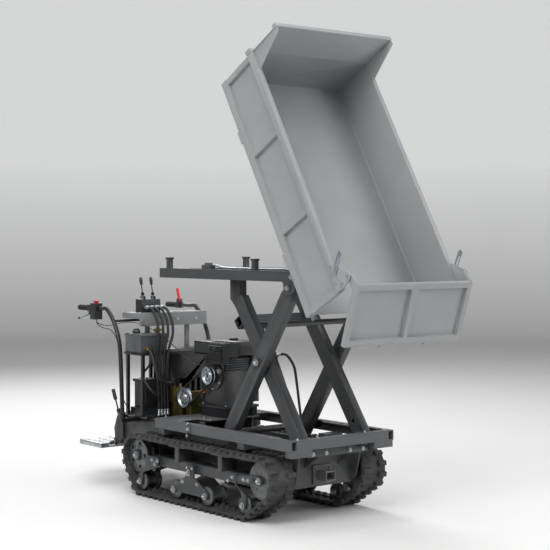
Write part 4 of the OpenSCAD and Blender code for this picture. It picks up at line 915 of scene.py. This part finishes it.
# %% Lever boots and knobs
def bellows(name, point, tilt, body):
    """A folded boot whose four folds shrink towards the top."""
    outline = [(4.2, 26)]
    for fold in range(4):
        radius = 8.5 + 1.5 * fold
        top = 25 - fold * 5.2
        outline += [(radius - 2.6, top), (radius, top - 2.0), (radius, top - 3.2)]
    outline += [(9.5, 3.2), (4.2, 3.2)]
    return turned_part(name, outline + [outline[0]], 28, point, tilt, "grip_rubber", body, 40)


lean = (-25, 0, 114)
for name, y in (("lift_lever", -155), ("tip_lever", -75)):
    bellows(name + "_boot", (-1825 - 25 * 0.085, y, GRIP_Z + 76 + 114 * 0.085), lean, name)
    turned_part(name + "_knob", [(0, 0), (6, 0), (9.6, 6), (11.2, 16), (10.8, 30), (7.5, 39), (0, 42)], 28,
                (-1825 - 25 * 0.80, y, GRIP_Z + 76 + 114 * 0.80), lean, "black_plastic", name, 45)
print("levers booted")

# %% Console, valve, tank and battery fittings
place_copies("valve_bolts", M8, [((x, y, GRIP_Z + 62.2), (0, 0, 1)) for x in (-1852, -1798)
                                 for y in (-182, -115, -48)], "bolt", "chassis")
place_copies("console_bolts", M8, [((x, y, GRIP_Z - 23.8), (0, 0, 1)) for x in (-1915, -1740)
                                   for y in (-235, 40, 270)]
             + [((-1717.8, y, GRIP_Z - 70), (1, 0, 0)) for y in (-230, -90, 50, 200)], "bolt", "chassis")
place_copies("tank_bolts", M8, [((x, y, 1004.2), (0, 0, 1)) for x in (-1812, -1650)
                                for y in (-286, -105)], "bolt", "chassis")
place_copies("body_plate_bolts", M8, [((x, y, 460.3), (0, 0, 1)) for x in (-1945, -1870, -1520, -1380)
                                      for y in (-205, 205)], "bolt", "chassis")
turned_part("tank_breather", [(0, 0), (25, 0), (26, 3), (26, 9), (22, 13), (20, 13), (19, 24), (16, 27),
                              (0, 27)], 36, (-1760, -250, 1008), (0, 0, 1), "black_plastic")
for index, (x, y) in enumerate([(-1748, -222), (-1684, -222)]):
    turned_part(f"battery_clamp_{index + 1}", [(0, 0), (12, 0), (12, 7), (9, 9), (6, 9), (6, 14), (0, 14)], 20,
                (x, y, 706.2), (0, 0, 1), "zinc")
print("rear fittings placed")

# %% [markdown]
# The tub is folded sheet with welded rails. Its tailgate hangs on two pins and is held by slotted levers
# on studs. Bolts with washers hold the pins, two short rods stop the gate's swing, and rubber pads on the
# platform's stops keep the empty tub from drumming.

# %% Tub, gate and platform fittings
place_copies("gate_pin_bolts", M8, [((GATE_PIN[0], s * 446.4, GATE_PIN[1]), (0, s, 0)) for s in (-1, 1)],
             "bolt", "gate", TIPPED)
place_copies("gate_plate_bolts", M8,
             [((x, s * 446.3, z), (0, s, 0)) for s in (-1, 1)
              for x, z in [(TUB_FRONT - 140, WALL_TOP - 20), (TUB_FRONT - 40, WALL_TOP - 24),
                           (TUB_FRONT - 20, WALL_TOP + 14)]], "bolt", "tub", TIPPED)
place_copies("tub_runner_bolts", M10,
             [((x, s * 340.3, FLOOR + 28), (0, s, 0)) for s in (-1, 1)
              for x in (HINGE[0] - 90, HINGE[0] - 30, HINGE[0] + 40)], "bolt", "tub", TIPPED)
for side, s in (("right", -1), ("left", 1)):
    rod = [(0, 0), (4, 0), (5, 1.5), (5, 58), (8, 60), (8, 66), (6, 69), (0, 69)]
    turned_part(f"gate_stop_rod_{side}", rod, 20, (TUB_FRONT + 2, s * 330, WALL_TOP - 34), (0, 0, 1), "bolt",
                "gate", carry=GATE_HUNG)
for index, x in enumerate((-1315, -450)):
    for side, s in (("right", -1), ("left", 1)):
        low, high = sorted((s * 283, s * 323))
        block(f"stop_pad_{side}_{index + 1}", (x - 5, low, FLOOR - 13), (x + 35, high, FLOOR - 0.6),
              3.0, "track_rubber", "platform")
weld_beads("headboard_weld_beads",
           [((TUB_BACK - 3, s * 439, WALL_TOP - 6), (TUB_BACK - 26, s * 439, WALL_TOP - 6)) for s in (-1, 1)]
           + [((TUB_BACK + 1, s * 431.5, WALL_TOP + 6), (TUB_BACK + 1, s * 431.5, BOARD_TOP - 4))
              for s in (-1, 1)], "tub", "tub_paint", TIPPED)
print("tub fitted")

# %% [markdown]
# Steel pipes and a hanging loop of hose feed the tip cylinder. Pipes are bent from drawn tube and clipped
# to the platform; the hose between them droops, because it has to have spare length when the lift moves.

# %% Platform pipes
def pipe_run(name, points, radius_mm, finish, body):
    """A bent steel pipe through points in mm, rounded at its corners."""
    line = smooth_route(points, 8)
    piece = round_tube(name, line, radius_mm * MM, sides=12)
    return settle(piece, name, finish, body, smooth=60)


for index, y in enumerate((-262, -250)):
    pipe_run(f"platform_pipe_{index + 1}",
             [(-900, y - 22, BEAM_Z + 76), (-860, y - 10, BEAM_Z + 82), (-800, y, BEAM_Z + 70),
              (-640, y, BEAM_Z + 68), (-400, y, BEAM_Z + 68), (-200, y, BEAM_Z + 68),
              (-160, y + 10, BEAM_Z + 60), (-150, y + 40, BEAM_Z + 20)], 5, "zinc", "platform")
print("pipes bent")

# %% [markdown]
# The last layer is what makes a machine look used and real: louvres on the guard, the bright clamp that
# holds a stake, the thick suction hose from the oil tank, and the thin control cables. A cable is laid
# along what carries it and is a piece of its own real length, like the hoses.

# %% Louvres on the exhaust guard
louvre = block("guard_louvres", (EX + 176, -121, EZ + 206), (EX + 314, -111, EZ + 211), 1.2, "engine_black")
repeated(louvre, 10, (0, 0, 11.5), "engine_black")
rib = block("guard_top_ribs", (EX + 180, -100, EZ + 325), (EX + 186, 10, EZ + 331), 1.0, "engine_black")
repeated(rib, 10, (13.5, 0, 0), "engine_black")
block("cleaner_cover_band", (EX + 2, -101, EZ + 262), (EX + 164, -95.6, EZ + 322), 2.5, "black_plastic",
             inset=9, raised=-2.2)
print("guard louvred")

# %% [markdown]
# The stake clamp on each side rail is a J bolt: a bright round bar, hooked at the top over the rail, with
# a nut and a washer at its lower end.

# %% Stake clamps
for side, s in (("right", -1), ("left", 1)):
    hook = [at(-981, s * 398, 418 + i * 8) for i in range(10)]
    hook += [at(-981, s * (398 - 9 * (1 - math.cos(t))), 494 + 9 * math.sin(t))
             for t in (math.pi * i / 8 for i in range(1, 9))]
    bar = round_tube(f"stake_hook_{side}", hook, 5.2 * MM, sides=12)
    settle(bar, f"stake_hook_{side}", "bolt", "chassis", smooth=60)
place_copies("stake_hook_nuts", M10, both_sides([((-981, -398, 432), (0, 0, -1)),
                                                  ((-962, -404.2, 470), (0, -1, 0))]),
             "bolt", "chassis")
print("stake clamps hooked")

# %% [markdown]
# The pump draws its oil through a thick, soft hose from the tank. It leaves the tank at a brass elbow,
# hangs in one easy curve in front of the pressure hoses, and ends on the pump in a worm-drive clamp.

# %% Suction hose, return loop and lift hose
turned_part("tank_elbow", [(0, 0), (11, 0), (11, 8), (15, 8), (15, 18), (11, 19), (12, 22), (9, 26), (12, 30),
                           (9, 34), (0, 34)], 24, (-1646, -250, 912), (1, 0, -0.4), "brass")
hose("suction_hose", [(-1640, -250, 910), (-1616, -250, 900), (-1572, -252, 862), (-1540, -250, 790),
                      (-1524, -228, 720), (-1530, -170, 690), (-1560, -110, 692), (-1592, -70, 668)],
     11, "chassis", steps=5)
hose("return_hose", [(-1640, -200, 915), (-1612, -204, 880), (-1640, -232, 800), (-1652, -272, 742),
                     (-1600, -282, 690), (-1556, -262, 640), (-1566, -210, 596), (-1620, -150, 590)],
     7, "chassis", steps=5)
lift_ports = crimp_fitting("lift_hose_ferrules", [((-560, -14, 930), (-1, -0.4, -0.4))], "lift_barrel", 9, 22)
hose("lift_hose", [(-560, -14, 930), (-520, 6, 925), (-482, 30, 860), (-470, 42, 760), (-440, 36, 640),
                   (-398, 16, 540), (-368, -8, 470), (-356, -20, 440)], 8, "lift_barrel",
     steps=5)
print("hoses hung")

# %% Control cables and the hand lever's ball
hose("clutch_cable", [(-2080, -360, 1086), (-2060, -358, 1050), (-1990, -350, 1030), (-1920, -344, 1020),
                      (-1860, -338, 960), (-1836, -336, 860), (-1822, -334, 700), (-1812, -322, 580),
                      (-1806, -286, 510), (-1800, -262, 481)], 3, "chassis", steps=5)
hose("throttle_cable", [(-2064, -370, 1086), (-2040, -366, 1060), (-1960, -340, 1050), (-1860, -300, 1070),
                        (-1760, -262, 1074), (-1680, -200, 1040), (-1580, -110, 950), (-1480, -90, 880),
                        (-1400, -96, 850), (-1340, -104, 830), (-1200, -112, 824), (EX + 215, -72, EZ + 190)],
     2.5, "chassis", steps=5)
turned_part("clutch_lever_ball", [(0, 0), (5, 1), (8, 4.5), (9, 9), (8, 13.5), (5, 17), (0, 18)], 24,
            (-2298, -360, GRIP_Z - 83), (0, 0, 1), "black_plastic", "clutch_lever", 60)
lead = [(CRANK[0] + 72, -92, EZ + 196), (CRANK[0] + 84, -112, EZ + 186), (CRANK[0] + 104, -106, EZ + 150),
        (CRANK[0] + 112, -70, EZ + 120), (CRANK[0] + 108, -47, EZ + 100)]
hose("spark_lead", lead, 3.2, "chassis", steps=6)
print("cables run")

# %% [markdown]
# The last cell removes the four bolt templates, since their copies now stand in place.

# %% Finish
for template in (M8, M10, M12, M16):
    bpy.data.objects.remove(template)
